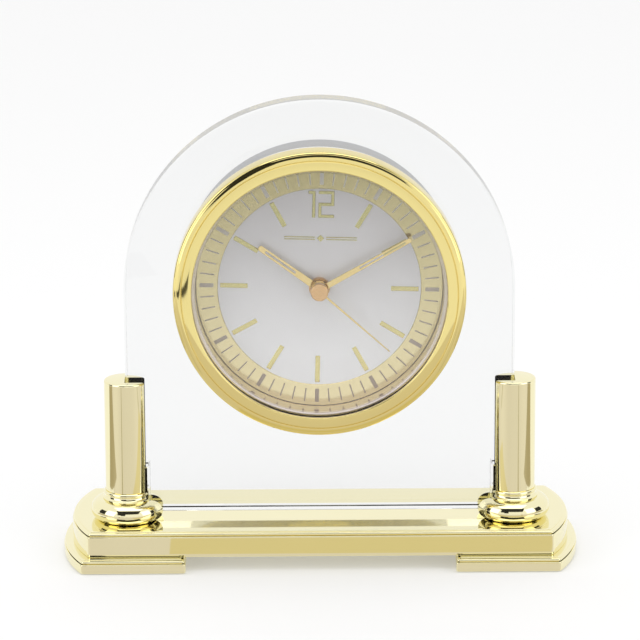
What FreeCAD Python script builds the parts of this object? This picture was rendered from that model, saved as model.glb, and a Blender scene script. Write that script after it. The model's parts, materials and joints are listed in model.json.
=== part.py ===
"""Mantel clock: a round quartz clock insert in an arched glass panel, held by two slotted pillars
on a stepped metal base.

Millimetres. +Z is up, the dial faces -Y, and the origin is the middle of the footprint, on the table.
Every loose piece of the real clock is one node, and each node is written to parts/NODE.step.
"""

import FreeCAD
import Part
import math
import os

Vector = FreeCAD.Vector

# ---- stand -----------------------------------------------------------------------------------------
FOOT_HALF_LENGTH = 85.0       # from the middle to the crown of the bowed end
FOOT_INNER = 44.2             # from the middle to the foot's inner end
FOOT_HALF_DEPTH = 27.5
FOOT_BOW = 6.7                # how far the bowed end stands out past its corners
PAD_PROUD = 0.3               # the felt pads stand this far below the feet
PAD_POCKET = 1.0
PAD_RADIUS = 4.5
FOOT_TOP = 4.8
BASE_HALF_LENGTH = 82.0
BASE_HALF_DEPTH = 24.25
BASE_BOW = 6.0
BASE_TOP = 13.2
GROOVE_HEIGHT = 0.3           # the fine line under each moulded edge
GROOVE_DEPTH = 0.6

# ---- pillars ---------------------------------------------------------------------------------------
PILLAR_X = 63.4
PANEL_Y = -6.7                # the glass and both pillars stand on this plane
PILLAR_RADIUS = 7.25
PILLAR_TOP = 60.5
BUN_RADIUS = 12.2
BUN_SEAT_RADIUS = 10.0
BUN_TOP_RADIUS = 9.0
BUN_HEIGHT = 6.8
NECK_HEIGHT = 3.0
NECK_RADIUS = 8.2
BOLT_RADIUS = 2.0
BOLT_HEAD_RADIUS = 3.8
BOLT_HEAD_HEIGHT = 2.2
BOLT_SEAT = FOOT_TOP + BOLT_HEAD_HEIGHT + 0.4
BOLT_LENGTH = 21.5            # under the head

# ---- glass panel -----------------------------------------------------------------------------------
GLASS_RADIUS = 63.5
GLASS_THICKNESS = 8.0
GLASS_BOTTOM = 16.2
ARCH_Z = 91.3
GLASS_HOLE_RADIUS = 45.6
GLASS_BEVEL = 0.5
SLOT_CLEARANCE = 0.1          # each side, between the glass and the pillar's slot
SLOT_END_GAP = 0.3            # between the edge of the glass and the end of the slot
NOTCH_HEIGHT = 15.2           # the glass is notched here, so that the pillar's lower end is solid
REST_HEIGHT = 0.4

# ---- clock insert, about the axis through CLOCK_Z, with y increasing towards the back ---------------
CLOCK_Z = 92.0
INSERT_TURN = 1.5             # degrees clockwise, as the insert sits in the glass
BEZEL_RADIUS = 47.4
BEZEL_STEP_RADIUS = 44.75
LIP_RADIUS = 41.4
BEZEL_FRONT = -19.4
GASKET_THICKNESS = 0.4
SKIRT_INNER = 43.25
SKIRT_BACK = -4.5
CAN_RADIUS = 44.8
CAN_WALL = 0.7
SKIRT_OUTER = CAN_RADIUS - CAN_WALL   # the bezel's skirt is pressed into the can
CAN_BACK = 12.7
LENS_RADIUS = 43.0
LENS_FRONT = -17.9
LENS_THICKNESS = 1.2
WALL_RING_INNER = 40.2
DIAL_FRONT = -8.4
DIAL_THICKNESS = 0.6
CHAPTER_OUTER = 40.1
CHAPTER_INNER = 33.0
CHAPTER_THICKNESS = 0.4
PRINT_THICKNESS = 0.08
MINUTE_INNER = 34.4
MINUTE_OUTER = 38.9
MARKER_INNER = 23.3
MARKER_OUTER = 32.2
MARKER_WIDTH = 1.5
MARKER_THICKNESS = 0.25
NUMERAL_STROKE = 1.0

# ---- quartz movement -------------------------------------------------------------------------------
CASE_HALF = 28.0
CASE_FRONT = -7.4
CASE_BACK = 7.6
CASE_WALL = 1.0
CASE_SPLIT = 0.0              # the plane where the front and back halves of the housing meet
CASE_CORNER = 3.0
CASE_POST_RADIUS = 1.6
PLATE_FRONT = -2.1            # the middle plate carries the train
PLATE_BACK = -1.1
PLATE_BOTTOM = -10.6          # lowest edge of the middle plate, below the clock's axis
BATTERY_RADIUS = 7.25
BATTERY_LENGTH = 50.5
BATTERY_Y = 1.3
BATTERY_Z = -19.3             # below the clock's axis
BAY_BOTTOM = -26.8
BAY_TOP = -11.6
BAY_HALF_LENGTH = 26.9
WINDOW_HALF_WIDTH = 28.5
WINDOW_BOTTOM = -27.5
WINDOW_TOP = 17.5
STANDOFF_RADIUS = 2.4
STANDOFF_CIRCLE = 38.5
STANDOFF_ANGLES = (90.0, 210.0, 330.0)

# ---- arbors, innermost first: each turns inside the next with FIT of radial clearance ----------------
FIT = 0.05
SECONDS_ARBOR = 0.45
MINUTE_TUBE = 1.1
HOUR_TUBE = 1.85
BUSH = 2.75
NUT_RADIUS = 3.4

# ---- going train: (teeth, module) of every wheel and pinion ------------------------------------------
ROTOR_PINION = (12, 0.2)
REDUCTION_WHEEL = (60, 0.2)
REDUCTION_PINION = (10, 0.25)
SECONDS_WHEEL = (60, 0.25)
THIRD_MODULE = 10.8 / 34.0
SECONDS_PINION = (8, THIRD_MODULE)
THIRD_WHEEL = (60, THIRD_MODULE)
THIRD_PINION = (8, 0.3)
CENTRE_WHEEL = (64, 0.3)
CANNON_PINION = (12, 0.45)
MOTION_WHEEL = (36, 0.45)
MOTION_PINION = (10, 0.432)
HOUR_WHEEL = (40, 0.432)
WHEEL_THICKNESS = 0.8
PINION_OVERHANG = 0.2         # a pinion is this much wider than its wheel on each face
TOOTH_SHARE = 0.40            # share of the pitch that a tooth takes at the pitch circle
ADDENDUM = 0.75               # tooth height above the pitch circle, in modules
DEDENDUM = 1.15
PRESSURE_ANGLE = 20.0

HOUR_LEVEL = -6.1             # front face of each wheel
MOTION_LEVEL = -4.9
CENTRE_LEVEL = -3.5
THIRD_LEVEL = -0.6
SECONDS_LEVEL = 0.8
REDUCTION_LEVEL = 2.2
MAGNET_FRONT = 3.7
MAGNET_BACK = 5.5
MAGNET_RADIUS = 2.5
STATOR_FRONT = 4.1
STATOR_BACK = 5.1
ARBOR_RADIUS = 0.5
PIVOT_RADIUS = 0.3
PIVOT_LENGTH = 0.9
ARBOR_FRONT = -0.9            # of the arbors between the middle plate and the back of the case
ARBOR_BACK = 6.2
THIRD_ARBOR_FRONT = -6.1
SECONDS_ARBOR_FRONT = -14.6   # the three hands' arbors reach through the dial
MINUTE_TUBE_FRONT = -12.6
MINUTE_TUBE_BACK = -1.3
HOUR_TUBE_FRONT = -11.2
KNOB_STEM_FRONT = -6.0

THIRD_DIRECTION = 150.0       # degrees from +X towards +Z, from the clock's axis
REDUCTION_DIRECTION = 30.0
ROTOR_DIRECTION = 20.0        # from the reduction arbor
MOTION_DIRECTION = 75.0

# ---- hands -----------------------------------------------------------------------------------------
HOUR_ANGLE = 306.0            # degrees clockwise from twelve
MINUTE_ANGLE = 60.5
SECOND_ANGLE = 132.0
HOUR_LENGTH = 24.2
HOUR_WIDTH = 2.3
HOUR_FRONT = -11.1
MINUTE_LENGTH = 34.2
MINUTE_WIDTH = 1.9
MINUTE_FRONT = -12.4
HAND_THICKNESS = 0.4
SECOND_LENGTH = 30.5
SECOND_WIDTH = 0.7
SECOND_FRONT = -13.9
CAP_FRONT = -15.6
CAP_RADIUS = 2.9
COLLAR_RADIUS = 2.7
HAND_GAP = 0.35               # between a hand's collar and what is behind it
KNOB_STEM = 0.55
KNOB_RADIUS = 5.0
KNOB_FRONT = 7.9
KNOB_BACK = 10.6
KNOB_SKIN = 0.6               # left behind the stem's hole


# ---- helpers -----------------------------------------------------------------------------------------
def save(name, *solids):
    """Write one node, as one solid or a group of separate solids."""
    shape = solids[0] if len(solids) == 1 else Part.makeCompound(list(solids))
    shape.exportStep(f"parts/{name}.step")


def disc(y0, y1, radius, x=0.0, z=CLOCK_Z):
    """Cylinder along +Y from y0 to y1."""
    return Part.makeCylinder(radius, y1 - y0, Vector(x, y0, z), Vector(0, 1, 0))


def tube(y0, y1, outer, inner, x=0.0, z=CLOCK_Z):
    """Ring along +Y from y0 to y1."""
    return disc(y0, y1, outer, x, z).cut(disc(y0 - 1, y1 + 1, inner, x, z))


def post(z0, z1, radius, x, y):
    """Cylinder along +Z from z0 to z1."""
    return Part.makeCylinder(radius, z1 - z0, Vector(x, y, z0))


def block(x0, x1, y0, y1, z0, z1):
    """Box between two corners."""
    return Part.makeBox(x1 - x0, y1 - y0, z1 - z0, Vector(x0, y0, z0))


def section(points):
    """Closed wire in the XY plane. A point given as (middle, end) ends an arc through middle."""
    edges = []
    here = points[0]
    for item in points[1:] + [points[0]]:
        if isinstance(item[0], tuple):
            middle, end = item
            edges.append(Part.Arc(Vector(*here), Vector(*middle), Vector(*end)).toShape())
            here = end
        elif item != here:
            edges.append(Part.makeLine(Vector(*here), Vector(*item)))
            here = item
    return Part.Wire(edges)


def turned_about_y(points, x=0.0, z=CLOCK_Z):
    """Solid of revolution about the clock's axis from (radius, y) points."""
    solid = Part.Face(section(points)).revolve(Vector(), Vector(0, 1, 0), 360)
    solid.translate(Vector(x, 0, z))
    return solid


def turned_about_z(points, x, y):
    """Solid of revolution about a vertical axis from (radius, z) points."""
    face = Part.Face(section(points))
    face.rotate(Vector(), Vector(1, 0, 0), 90)
    solid = face.revolve(Vector(), Vector(0, 0, 1), 360)
    solid.translate(Vector(x, y, 0))
    return solid


def clockwise(shape, degrees):
    """Turn a shape about the clock's axis, clockwise as the dial is read."""
    shape.rotate(Vector(0, 0, CLOCK_Z), Vector(0, 1, 0), degrees)
    return shape


def polar(radius, degrees, x=0.0, z=0.0):
    """Point at radius in a direction from +X towards +Z."""
    angle = math.radians(degrees)
    return x + radius * math.cos(angle), z + radius * math.sin(angle)


THIRD_AXIS = polar(10.8, THIRD_DIRECTION, 0.0, CLOCK_Z)
MOTION_AXIS = polar(10.8, MOTION_DIRECTION, 0.0, CLOCK_Z)
REDUCTION_AXIS = polar(8.75, REDUCTION_DIRECTION, 0.0, CLOCK_Z)
ROTOR_AXIS = polar(7.2, ROTOR_DIRECTION, *REDUCTION_AXIS)
STATOR_FEET = ((ROTOR_AXIS[0] + 3.8, CLOCK_Z + 24.7), (-8.3, CLOCK_Z + 24.7))


# ---- stand -----------------------------------------------------------------------------------------
def bowed_outline(half_length, half_depth, bow, inset, inner=None):
    """Plan of a block with bowed ends, or of the right-hand part of it past inner."""
    x, y = half_length - bow - inset, half_depth - inset
    crown = half_length - inset
    right_end = ((crown, 0.0), (x, y))
    if inner is not None:
        left = inner + inset
        return Part.Face(section([(left, -y), (x, -y), right_end, (left, y)]))
    return Part.Face(section([(-x, -y), (x, -y), right_end, (-x, y), ((-crown, 0.0), (-x, -y))]))


def slab(outline, z0, z1):
    """Raise an outline into a plate from z0 to z1."""
    plate = outline.extrude(Vector(0, 0, z1 - z0))
    plate.translate(Vector(0, 0, z0))
    return plate


def round_top(solid, z, radius):
    """Round every edge that lies at height z."""
    edges = [e for e in solid.Edges if abs(e.BoundBox.ZMin - z) < 1e-6 and abs(e.BoundBox.ZMax - z) < 1e-6]
    return solid.makeFillet(radius, edges)


def moulded_block(half_length, half_depth, bow, bottom, top, inner=None):
    """Block with a fine groove under a rounded top moulding and a low step inside it."""
    outline = {inset: bowed_outline(half_length, half_depth, bow, inset, inner)
               for inset in (0.0, GROOVE_DEPTH, 0.3, 1.5)}
    groove = top - 4.5 * GROOVE_HEIGHT
    body = round_top(slab(outline[0.0], bottom, groove), groove, 0.25)
    neck = slab(outline[GROOVE_DEPTH], groove, groove + GROOVE_HEIGHT)
    moulding = slab(outline[0.3], groove + GROOVE_HEIGHT, top - GROOVE_HEIGHT)
    moulding = round_top(moulding, top - GROOVE_HEIGHT, 0.5)
    step = slab(outline[1.5], top - GROOVE_HEIGHT, top)
    return body.fuse([neck, moulding, step]).removeSplitter()


def bolt_pocket(x):
    """Through hole with a counterbore below, for a pillar bolt."""
    head = post(FOOT_TOP - 1, BOLT_SEAT, BOLT_HEAD_RADIUS + 0.2, x, PANEL_Y)
    return head.fuse(post(BOLT_SEAT - 0.1, BASE_TOP + 1, BOLT_RADIUS + 0.1, x, PANEL_Y))


def foot_holes(side):
    """Screw and pad places of one foot: (x, y) of two screws and of two pads."""
    middle = side * (FOOT_INNER + FOOT_HALF_LENGTH - FOOT_BOW) / 2
    screws = [(middle, -14.0), (middle, 14.0)]
    pads = [(middle - side * 11.0, -19.0), (middle - side * 11.0, 19.0),
            (middle + side * 13.0, -17.0), (middle + side * 13.0, 17.0)]
    return screws, pads


def make_foot(side):
    """One foot block with counterbored screw holes and pockets for its felt pads."""
    foot = moulded_block(FOOT_HALF_LENGTH, FOOT_HALF_DEPTH, FOOT_BOW, PAD_PROUD, FOOT_TOP, FOOT_INNER)
    if side < 0:
        foot = foot.mirror(Vector(), Vector(1, 0, 0))
    screws, pads = foot_holes(side)
    tools = [post(PAD_PROUD - 1, PAD_PROUD + PAD_POCKET, PAD_RADIUS, x, y) for x, y in pads]
    for x, y in screws:
        tools.append(post(PAD_PROUD - 1, 2.6, 3.0, x, y))
        tools.append(post(2.0, FOOT_TOP + 1, 1.6, x, y))
    return foot.cut(tools)


def make_foot_screws():
    """Four pan-head screws that hold the feet under the base."""
    screws = []
    for side in (-1, 1):
        for x, y in foot_holes(side)[0]:
            head = post(0.9, 2.6, 2.7, x, y).cut(block(x - 2.2, x + 2.2, y - 0.35, y + 0.35, 0, 1.5))
            screws.append(head.fuse(post(2.6, FOOT_TOP + 4.5, 1.5, x, y)))
    return screws


def make_foot_pads():
    """Felt pads that keep the feet off the table."""
    places = [place for side in (-1, 1) for place in foot_holes(side)[1]]
    return [post(0.0, PAD_PROUD + PAD_POCKET, PAD_RADIUS - 0.05, x, y) for x, y in places]


def make_base():
    """The stepped base block, bored for the pillar bolts and tapped for the foot screws."""
    base = moulded_block(BASE_HALF_LENGTH, BASE_HALF_DEPTH, BASE_BOW, FOOT_TOP, BASE_TOP)
    tools = [bolt_pocket(side * PILLAR_X) for side in (-1, 1)]
    for side in (-1, 1):
        tools += [post(FOOT_TOP - 1, FOOT_TOP + 5.0, 1.52, x, y) for x, y in foot_holes(side)[0]]
    return base.cut(tools)


# ---- pillars ---------------------------------------------------------------------------------------
def glass_slot(side, depth_from_axis, z0, z1):
    """The slot's cutter: it comes in from the middle of the clock and ends near a pillar's axis."""
    half = GLASS_THICKNESS / 2 + SLOT_CLEARANCE
    end = PILLAR_X - depth_from_axis
    x0, x1 = sorted((side * (PILLAR_X - 2 * BUN_RADIUS), side * end))
    return block(x0, x1, PANEL_Y - half, PANEL_Y + half, z0, z1)


def make_pillar(side):
    """A pillar with a milled slot for the edge of the glass, and a tapped solid foot."""
    x = side * PILLAR_X
    bottom = BASE_TOP + BUN_HEIGHT + NECK_HEIGHT
    rod = round_top(post(bottom, PILLAR_TOP, PILLAR_RADIUS, x, PANEL_Y), PILLAR_TOP, 0.6)
    slot_floor = GLASS_BOTTOM + NOTCH_HEIGHT - REST_HEIGHT
    slot_end = PILLAR_X - GLASS_RADIUS - SLOT_END_GAP
    cutters = [
        glass_slot(side, slot_end, slot_floor, PILLAR_TOP + 1),
        glass_slot(side, PILLAR_RADIUS - 0.7, bottom - 1, slot_floor),
        post(bottom - 1, BOLT_SEAT + BOLT_LENGTH + 0.8, BOLT_RADIUS, x, PANEL_Y),
    ]
    return rod.cut(cutters)


def make_neck_ring(side):
    """The coved ring between a pillar and its bun."""
    z0 = BASE_TOP + BUN_HEIGHT
    z1 = z0 + NECK_HEIGHT
    ring = turned_about_z([
        (BOLT_RADIUS + 0.1, z0), (NECK_RADIUS, z0), (NECK_RADIUS, z0 + 0.5),
        ((NECK_RADIUS - 0.65, z0 + 1.0), (NECK_RADIUS - 0.8, z0 + 1.8)),
        (NECK_RADIUS - 0.5, z0 + 1.95), ((NECK_RADIUS - 0.3, z0 + 2.4), (NECK_RADIUS - 0.5, z1 - 0.15)),
        (NECK_RADIUS - 0.65, z1), (BOLT_RADIUS + 0.1, z1),
    ], side * PILLAR_X, PANEL_Y)
    return ring.cut(glass_slot(side, PILLAR_RADIUS - 0.7, z0 - 1, z1 + 1))


def make_bun(side):
    """The squashed round bun that a pillar stands on."""
    z0 = BASE_TOP
    z1 = z0 + BUN_HEIGHT
    bun = turned_about_z([
        (BOLT_RADIUS + 0.1, z0), (BUN_SEAT_RADIUS, z0),
        ((BUN_RADIUS, (z0 + z1) / 2), (BUN_TOP_RADIUS, z1)), (BOLT_RADIUS + 0.1, z1),
    ], side * PILLAR_X, PANEL_Y)
    return bun.cut(glass_slot(side, PILLAR_RADIUS - 0.7, z0 - 1, z1 + 1))


def make_pillar_bolt(side):
    """Bolt from under the base through bun and neck ring into the pillar."""
    x = side * PILLAR_X
    head = post(FOOT_TOP + 0.4, BOLT_SEAT, BOLT_HEAD_RADIUS, x, PANEL_Y)
    head = head.cut(block(x - 3.0, x + 3.0, PANEL_Y - 0.5, PANEL_Y + 0.5, FOOT_TOP, FOOT_TOP + 1.3))
    return head.fuse(post(BOLT_SEAT, BOLT_SEAT + BOLT_LENGTH, BOLT_RADIUS - 0.05, x, PANEL_Y))


# ---- glass -----------------------------------------------------------------------------------------
def make_glass():
    """Arched panel, bevelled all round, with the round hole for the clock and two hidden notches."""
    y0 = PANEL_Y - GLASS_THICKNESS / 2
    r = GLASS_RADIUS
    outline = section([(-r, GLASS_BOTTOM), (r, GLASS_BOTTOM), (r, ARCH_Z), ((0.0, ARCH_Z + r), (-r, ARCH_Z))])
    panel = Part.Face(outline).extrude(Vector(0, 0, -GLASS_THICKNESS))
    panel.rotate(Vector(), Vector(1, 0, 0), 90)
    panel.translate(Vector(0, y0, 0))
    panel = panel.makeChamfer(GLASS_BEVEL, [e for e in panel.Edges if e.BoundBox.YLength < 1e-6])
    tools = [disc(y0 - 1, y0 + GLASS_THICKNESS + 1, GLASS_HOLE_RADIUS)]
    notch = PILLAR_X - PILLAR_RADIUS + 0.4
    for side in (-1, 1):
        x0, x1 = sorted((side * notch, side * (r + 1)))
        tools.append(block(x0, x1, y0 - 1, y0 + GLASS_THICKNESS + 1, 0, GLASS_BOTTOM + NOTCH_HEIGHT))
    return panel.cut(tools)


def make_glass_rests():
    """Clear pads on the floors of the pillars' slots, which carry the glass by the roofs of its notches."""
    half = GLASS_THICKNESS / 2 - 1.0
    roof = GLASS_BOTTOM + NOTCH_HEIGHT
    inner, outer = PILLAR_X - PILLAR_RADIUS + 2.0, GLASS_RADIUS - 1.0
    pads = []
    for side in (-1, 1):
        x0, x1 = sorted((side * inner, side * outer))
        pads.append(block(x0, x1, PANEL_Y - half, PANEL_Y + half, roof - REST_HEIGHT, roof))
    return pads


# ---- clock insert ------------------------------------------------------------------------------------
GLASS_FRONT = PANEL_Y - GLASS_THICKNESS / 2
BEZEL_BACK = GLASS_FRONT - GASKET_THICKNESS


def make_bezel():
    """Front bezel: a deep round side, a falling outer band, a fine line, a flat inner band and a lip."""
    edge, band, lip, front = BEZEL_RADIUS, BEZEL_STEP_RADIUS, LIP_RADIUS, BEZEL_FRONT
    return turned_about_y([
        (SKIRT_INNER, SKIRT_BACK), (SKIRT_INNER, LENS_FRONT), (lip + 0.1, LENS_FRONT),
        (lip, LENS_FRONT - 0.2), (lip, front + 0.35), ((lip + 0.1, front + 0.1), (lip + 0.35, front)),
        (band - 0.2, front + 0.15), (band, front + 0.45), (band + 0.2, front + 0.2),
        ((band + 1.1, front + 0.3), (edge - 0.8, front + 0.6)),
        ((edge - 0.2, front + 0.85), (edge, front + 1.4)),
        (edge, BEZEL_BACK - 0.4), ((edge - 0.1, BEZEL_BACK - 0.1), (edge - 0.4, BEZEL_BACK)),
        (SKIRT_OUTER, BEZEL_BACK), (SKIRT_OUTER, SKIRT_BACK),
    ])


def make_rear_can():
    """Spun can behind the glass, with a window in its back for the battery and the setting knob."""
    can = disc(BEZEL_BACK + 0.5, CAN_BACK, CAN_RADIUS)
    can = can.makeFillet(1.2, [e for e in can.Edges if abs(e.BoundBox.YMin - CAN_BACK) < 1e-6])
    hollow = disc(BEZEL_BACK - 1, CAN_BACK - CAN_WALL, CAN_RADIUS - CAN_WALL)
    window = block(-WINDOW_HALF_WIDTH, WINDOW_HALF_WIDTH, CAN_BACK - 3, CAN_BACK + 1,
                   CLOCK_Z + WINDOW_BOTTOM, CLOCK_Z + WINDOW_TOP)
    holes = [disc(CAN_BACK - 3, CAN_BACK + 1, 1.25, *polar(STANDOFF_CIRCLE, a, 0.0, CLOCK_Z))
             for a in STANDOFF_ANGLES]
    window = window.makeFillet(2.5, [e for e in window.Edges if e.BoundBox.YLength > 3.0])
    return can.cut([hollow, window] + holes)


def make_standoffs():
    """Three posts between the dial plate and the back of the can."""
    posts = []
    for angle in STANDOFF_ANGLES:
        x, z = polar(STANDOFF_CIRCLE, angle, 0.0, CLOCK_Z)
        rod = disc(DIAL_FRONT + DIAL_THICKNESS, CAN_BACK - CAN_WALL, STANDOFF_RADIUS, x, z)
        posts.append(rod.cut(disc(2.0, CAN_BACK, 1.1, x, z)))
    return posts


def make_can_screws():
    """Three screws through the back of the can into the posts."""
    screws = []
    for angle in STANDOFF_ANGLES:
        x, z = polar(STANDOFF_CIRCLE, angle, 0.0, CLOCK_Z)
        head = disc(CAN_BACK, CAN_BACK + 1.2, 2.2, x, z)
        head = head.cut(block(x - 1.7, x + 1.7, CAN_BACK + 0.6, CAN_BACK + 2, z - 0.3, z + 0.3))
        screws.append(head.fuse(disc(5.0, CAN_BACK, 1.05, x, z)))
    return screws


def make_minute_ticks():
    """Sixty printed ticks on the chapter ring, a wider one at every hour."""
    back = DIAL_FRONT - CHAPTER_THICKNESS
    ticks = []
    for minute in range(60):
        half = 0.65 if minute % 5 == 0 else 0.22
        tick = block(-half, half, back - PRINT_THICKNESS, back,
                     CLOCK_Z + MINUTE_INNER, CLOCK_Z + MINUTE_OUTER)
        ticks.append(clockwise(tick, INSERT_TURN + 6.0 * minute))
    return ticks


def make_hour_markers():
    """Raised bars at every hour but twelve."""
    half = MARKER_WIDTH / 2
    bars = []
    for hour in range(1, 12):
        bar = block(-half, half, DIAL_FRONT - MARKER_THICKNESS, DIAL_FRONT,
                    CLOCK_Z + MARKER_INNER, CLOCK_Z + MARKER_OUTER)
        bars.append(clockwise(bar, INSERT_TURN + 30.0 * hour))
    return bars


def stroke(x0, x1, z0, z1):
    """One straight stroke of the raised numeral, in the dial's own directions."""
    return block(x0, x1, DIAL_FRONT - MARKER_THICKNESS, DIAL_FRONT, CLOCK_Z + z0, CLOCK_Z + z1)


def make_numeral():
    """The raised figures 1 and 2 of twelve, in thin square strokes."""
    low, high = MARKER_INNER, MARKER_OUTER
    middle = (low + high) / 2
    s = NUMERAL_STROKE
    one = stroke(-2.9, -2.9 + s, low, high).fuse(stroke(-4.2, -2.9 + s, high - s, high))
    two = stroke(-0.9, 4.2, high - s, high).fuse([
        stroke(4.2 - s, 4.2, middle - s / 2, high),
        stroke(-0.9, 4.2, middle - s / 2, middle + s / 2),
        stroke(-0.9, -0.9 + s, low, middle + s / 2),
        stroke(-0.9, 4.2, low, low + s),
    ])
    return [clockwise(figure.removeSplitter(), INSERT_TURN) for figure in (one, two)]


def make_dial_ornament():
    """A thin double rule with a lozenge, under the numeral."""
    lozenge = stroke(-0.8, 0.8, 15.6, 17.2)
    lozenge.rotate(Vector(0, 0, CLOCK_Z + 16.4), Vector(0, 1, 0), 45)
    rules = [stroke(side - 5.0, side + 5.0, z, z + 0.25) for side in (-6.8, 6.8) for z in (15.9, 16.65)]
    return [clockwise(piece, INSERT_TURN) for piece in [lozenge] + rules]


# ---- movement housing ----------------------------------------------------------------------------------
def rounded_case(y0, y1, inset):
    """Square housing body with rounded upright corners."""
    half = CASE_HALF - inset
    case = block(-half, half, y0, y1, CLOCK_Z - half, CLOCK_Z + half)
    return case.makeFillet(CASE_CORNER - inset * 0.8, [e for e in case.Edges if e.BoundBox.YLength > 1.0])


def battery_bay(y0, y1, wall):
    """The cell's compartment, grown by wall."""
    return block(-BAY_HALF_LENGTH - wall, BAY_HALF_LENGTH + wall, y0, y1,
                 CLOCK_Z + BAY_BOTTOM - wall, CLOCK_Z + BAY_TOP + wall)


def case_posts(y0, y1):
    """The housing's three clip posts."""
    places = ((-24.0, 24.0), (24.0, 24.0), (24.0, -8.6))
    return [disc(y0, y1, CASE_POST_RADIUS, x, CLOCK_Z + z) for x, z in places]


def make_front_case():
    """Front half of the movement's housing, with the threaded centre bush."""
    shell = rounded_case(CASE_FRONT, CASE_SPLIT, 0.0)
    shell = shell.cut(rounded_case(CASE_FRONT + CASE_WALL, CASE_SPLIT + 1, 0.95))
    divider = block(-CASE_HALF + 0.5, CASE_HALF - 0.5, CASE_FRONT + CASE_WALL, CASE_SPLIT,
                    CLOCK_Z + BAY_TOP, CLOCK_Z + BAY_TOP + 0.6)
    bush = disc(-10.0, CASE_FRONT + CASE_WALL, BUSH)
    shell = shell.fuse([divider, bush] + case_posts(CASE_FRONT + CASE_WALL, CASE_SPLIT))
    holes = [disc(-11.0, CASE_FRONT + 2, HOUR_TUBE + FIT)]
    holes += [disc(CASE_FRONT + 0.4, CASE_FRONT + 2, PIVOT_RADIUS + FIT, x, z)
              for x, z in (THIRD_AXIS, MOTION_AXIS)]
    return shell.cut(holes)


def make_back_case():
    """Back half of the housing, with the open battery bay and the knob's hole."""
    shell = rounded_case(CASE_SPLIT + 0.02, CASE_BACK, 0.0)
    shell = shell.cut(rounded_case(CASE_SPLIT - 1, CASE_BACK - CASE_WALL, 0.95))
    divider = block(-CASE_HALF + 0.5, CASE_HALF - 0.5, CASE_SPLIT + 0.02, CASE_BACK,
                    CLOCK_Z + BAY_TOP, CLOCK_Z + BAY_TOP + 0.6)
    shell = shell.fuse([divider] + case_posts(CASE_SPLIT + 0.02, CASE_BACK))
    holes = [battery_bay(CASE_SPLIT - 1, CASE_BACK + 1, 0.0)]
    holes += [disc(CASE_BACK - 3, CASE_BACK - 0.6, PIVOT_RADIUS + FIT, x, z)
              for x, z in (THIRD_AXIS, REDUCTION_AXIS, ROTOR_AXIS, (0.0, CLOCK_Z))]
    holes.append(disc(CASE_BACK - 3, CASE_BACK + 1, KNOB_STEM + FIT, *MOTION_AXIS))
    return shell.cut(holes)


def make_middle_plate():
    """Plate between the motion work and the going train, pierced for the arbors."""
    edge = CASE_HALF - 1.4
    plate = block(-edge, edge, PLATE_FRONT, PLATE_BACK, CLOCK_Z + PLATE_BOTTOM, CLOCK_Z + edge)
    holes = case_posts(PLATE_FRONT - 1, PLATE_BACK + 1)
    bores = (((0.0, CLOCK_Z), MINUTE_TUBE), (THIRD_AXIS, ARBOR_RADIUS), (MOTION_AXIS, KNOB_STEM))
    holes += [disc(PLATE_FRONT - 1, PLATE_BACK + 1, radius + FIT, x, z) for (x, z), radius in bores]
    holes += [disc(PLATE_BACK - 0.5, PLATE_BACK + 1, PIVOT_RADIUS + FIT, x, z)
              for x, z in (REDUCTION_AXIS, ROTOR_AXIS)]
    corners = block(-edge - 1, edge + 1, PLATE_FRONT - 1, PLATE_BACK + 1,
                    CLOCK_Z + PLATE_BOTTOM, CLOCK_Z + edge + 1)
    corners = corners.cut(rounded_case(PLATE_FRONT - 2, PLATE_BACK + 2, 1.4))
    feet = [disc(PLATE_BACK, STATOR_FRONT, 1.1, x, z) for x, z in STATOR_FEET]
    return plate.cut(holes + [corners]).fuse(feet)


# ---- going train ---------------------------------------------------------------------------------------
def pitch_radius(gear):
    """Half of teeth times module."""
    return gear[0] * gear[1] / 2


def spread(radius, base):
    """Involute function of the pressure angle at a radius, for a base circle."""
    if radius <= base:
        return 0.0
    angle = math.acos(base / radius)
    return math.tan(angle) - angle


def flank(start, via, stop, curved):
    """One side of a tooth: an arc, or a straight line where the root lies inside the base circle."""
    if curved:
        return Part.Arc(start, via, stop).toShape()
    return Part.makeLine(start, stop)


def toothed(gear, phase, y0, y1, x=0.0, z=CLOCK_Z):
    """Gear blank with involute teeth, one of them centred at phase degrees."""
    teeth, module = gear
    pitch = pitch_radius(gear)
    base = pitch * math.cos(math.radians(PRESSURE_ANGLE))
    tip = pitch + ADDENDUM * module
    root = pitch - DEDENDUM * module
    middle = max((pitch + base) / 2, base)
    half = math.pi * TOOTH_SHARE / teeth + spread(pitch, base)

    def at(radius, turn):
        """Point of the outline, turned from the tooth's centre line."""
        angle = math.radians(phase) + turn
        return Vector(x + radius * math.cos(angle), y0, z + radius * math.sin(angle))

    edges = []
    for tooth in range(teeth):
        centre = 2 * math.pi * tooth / teeth
        after = centre + 2 * math.pi / teeth
        low, mid, high = (half - spread(r, base) for r in (root, middle, tip))
        rise = (at(root, centre - low), at(middle, centre - mid), at(tip, centre - high))
        fall = (at(tip, centre + high), at(middle, centre + mid), at(root, centre + low))
        up, down = (flank(*points, root > base) for points in (rise, fall))
        edges += [up, Part.makeLine(at(tip, centre - high), at(tip, centre + high)), down,
                  Part.makeLine(at(root, centre + low), at(root, after - low))]
    return Part.Face(Part.Wire(edges)).extrude(Vector(0, y1 - y0, 0))


def meshed(driver, driver_phase, direction, driven):
    """Phase of a driven gear that puts its gap on the driver's tooth, across a line of centres."""
    ratio = driver[0] / driven[0]
    return direction + 180.0 + 180.0 / driven[0] + (direction - driver_phase) * ratio


def arbor(y0, y1, axis, radius=ARBOR_RADIUS, pivot=0.5):
    """Arbor with a thin pivot at each end."""
    return disc(y0, y1, radius, *axis).fuse(disc(y0 - pivot, y1 + pivot, PIVOT_RADIUS, *axis))


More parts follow.
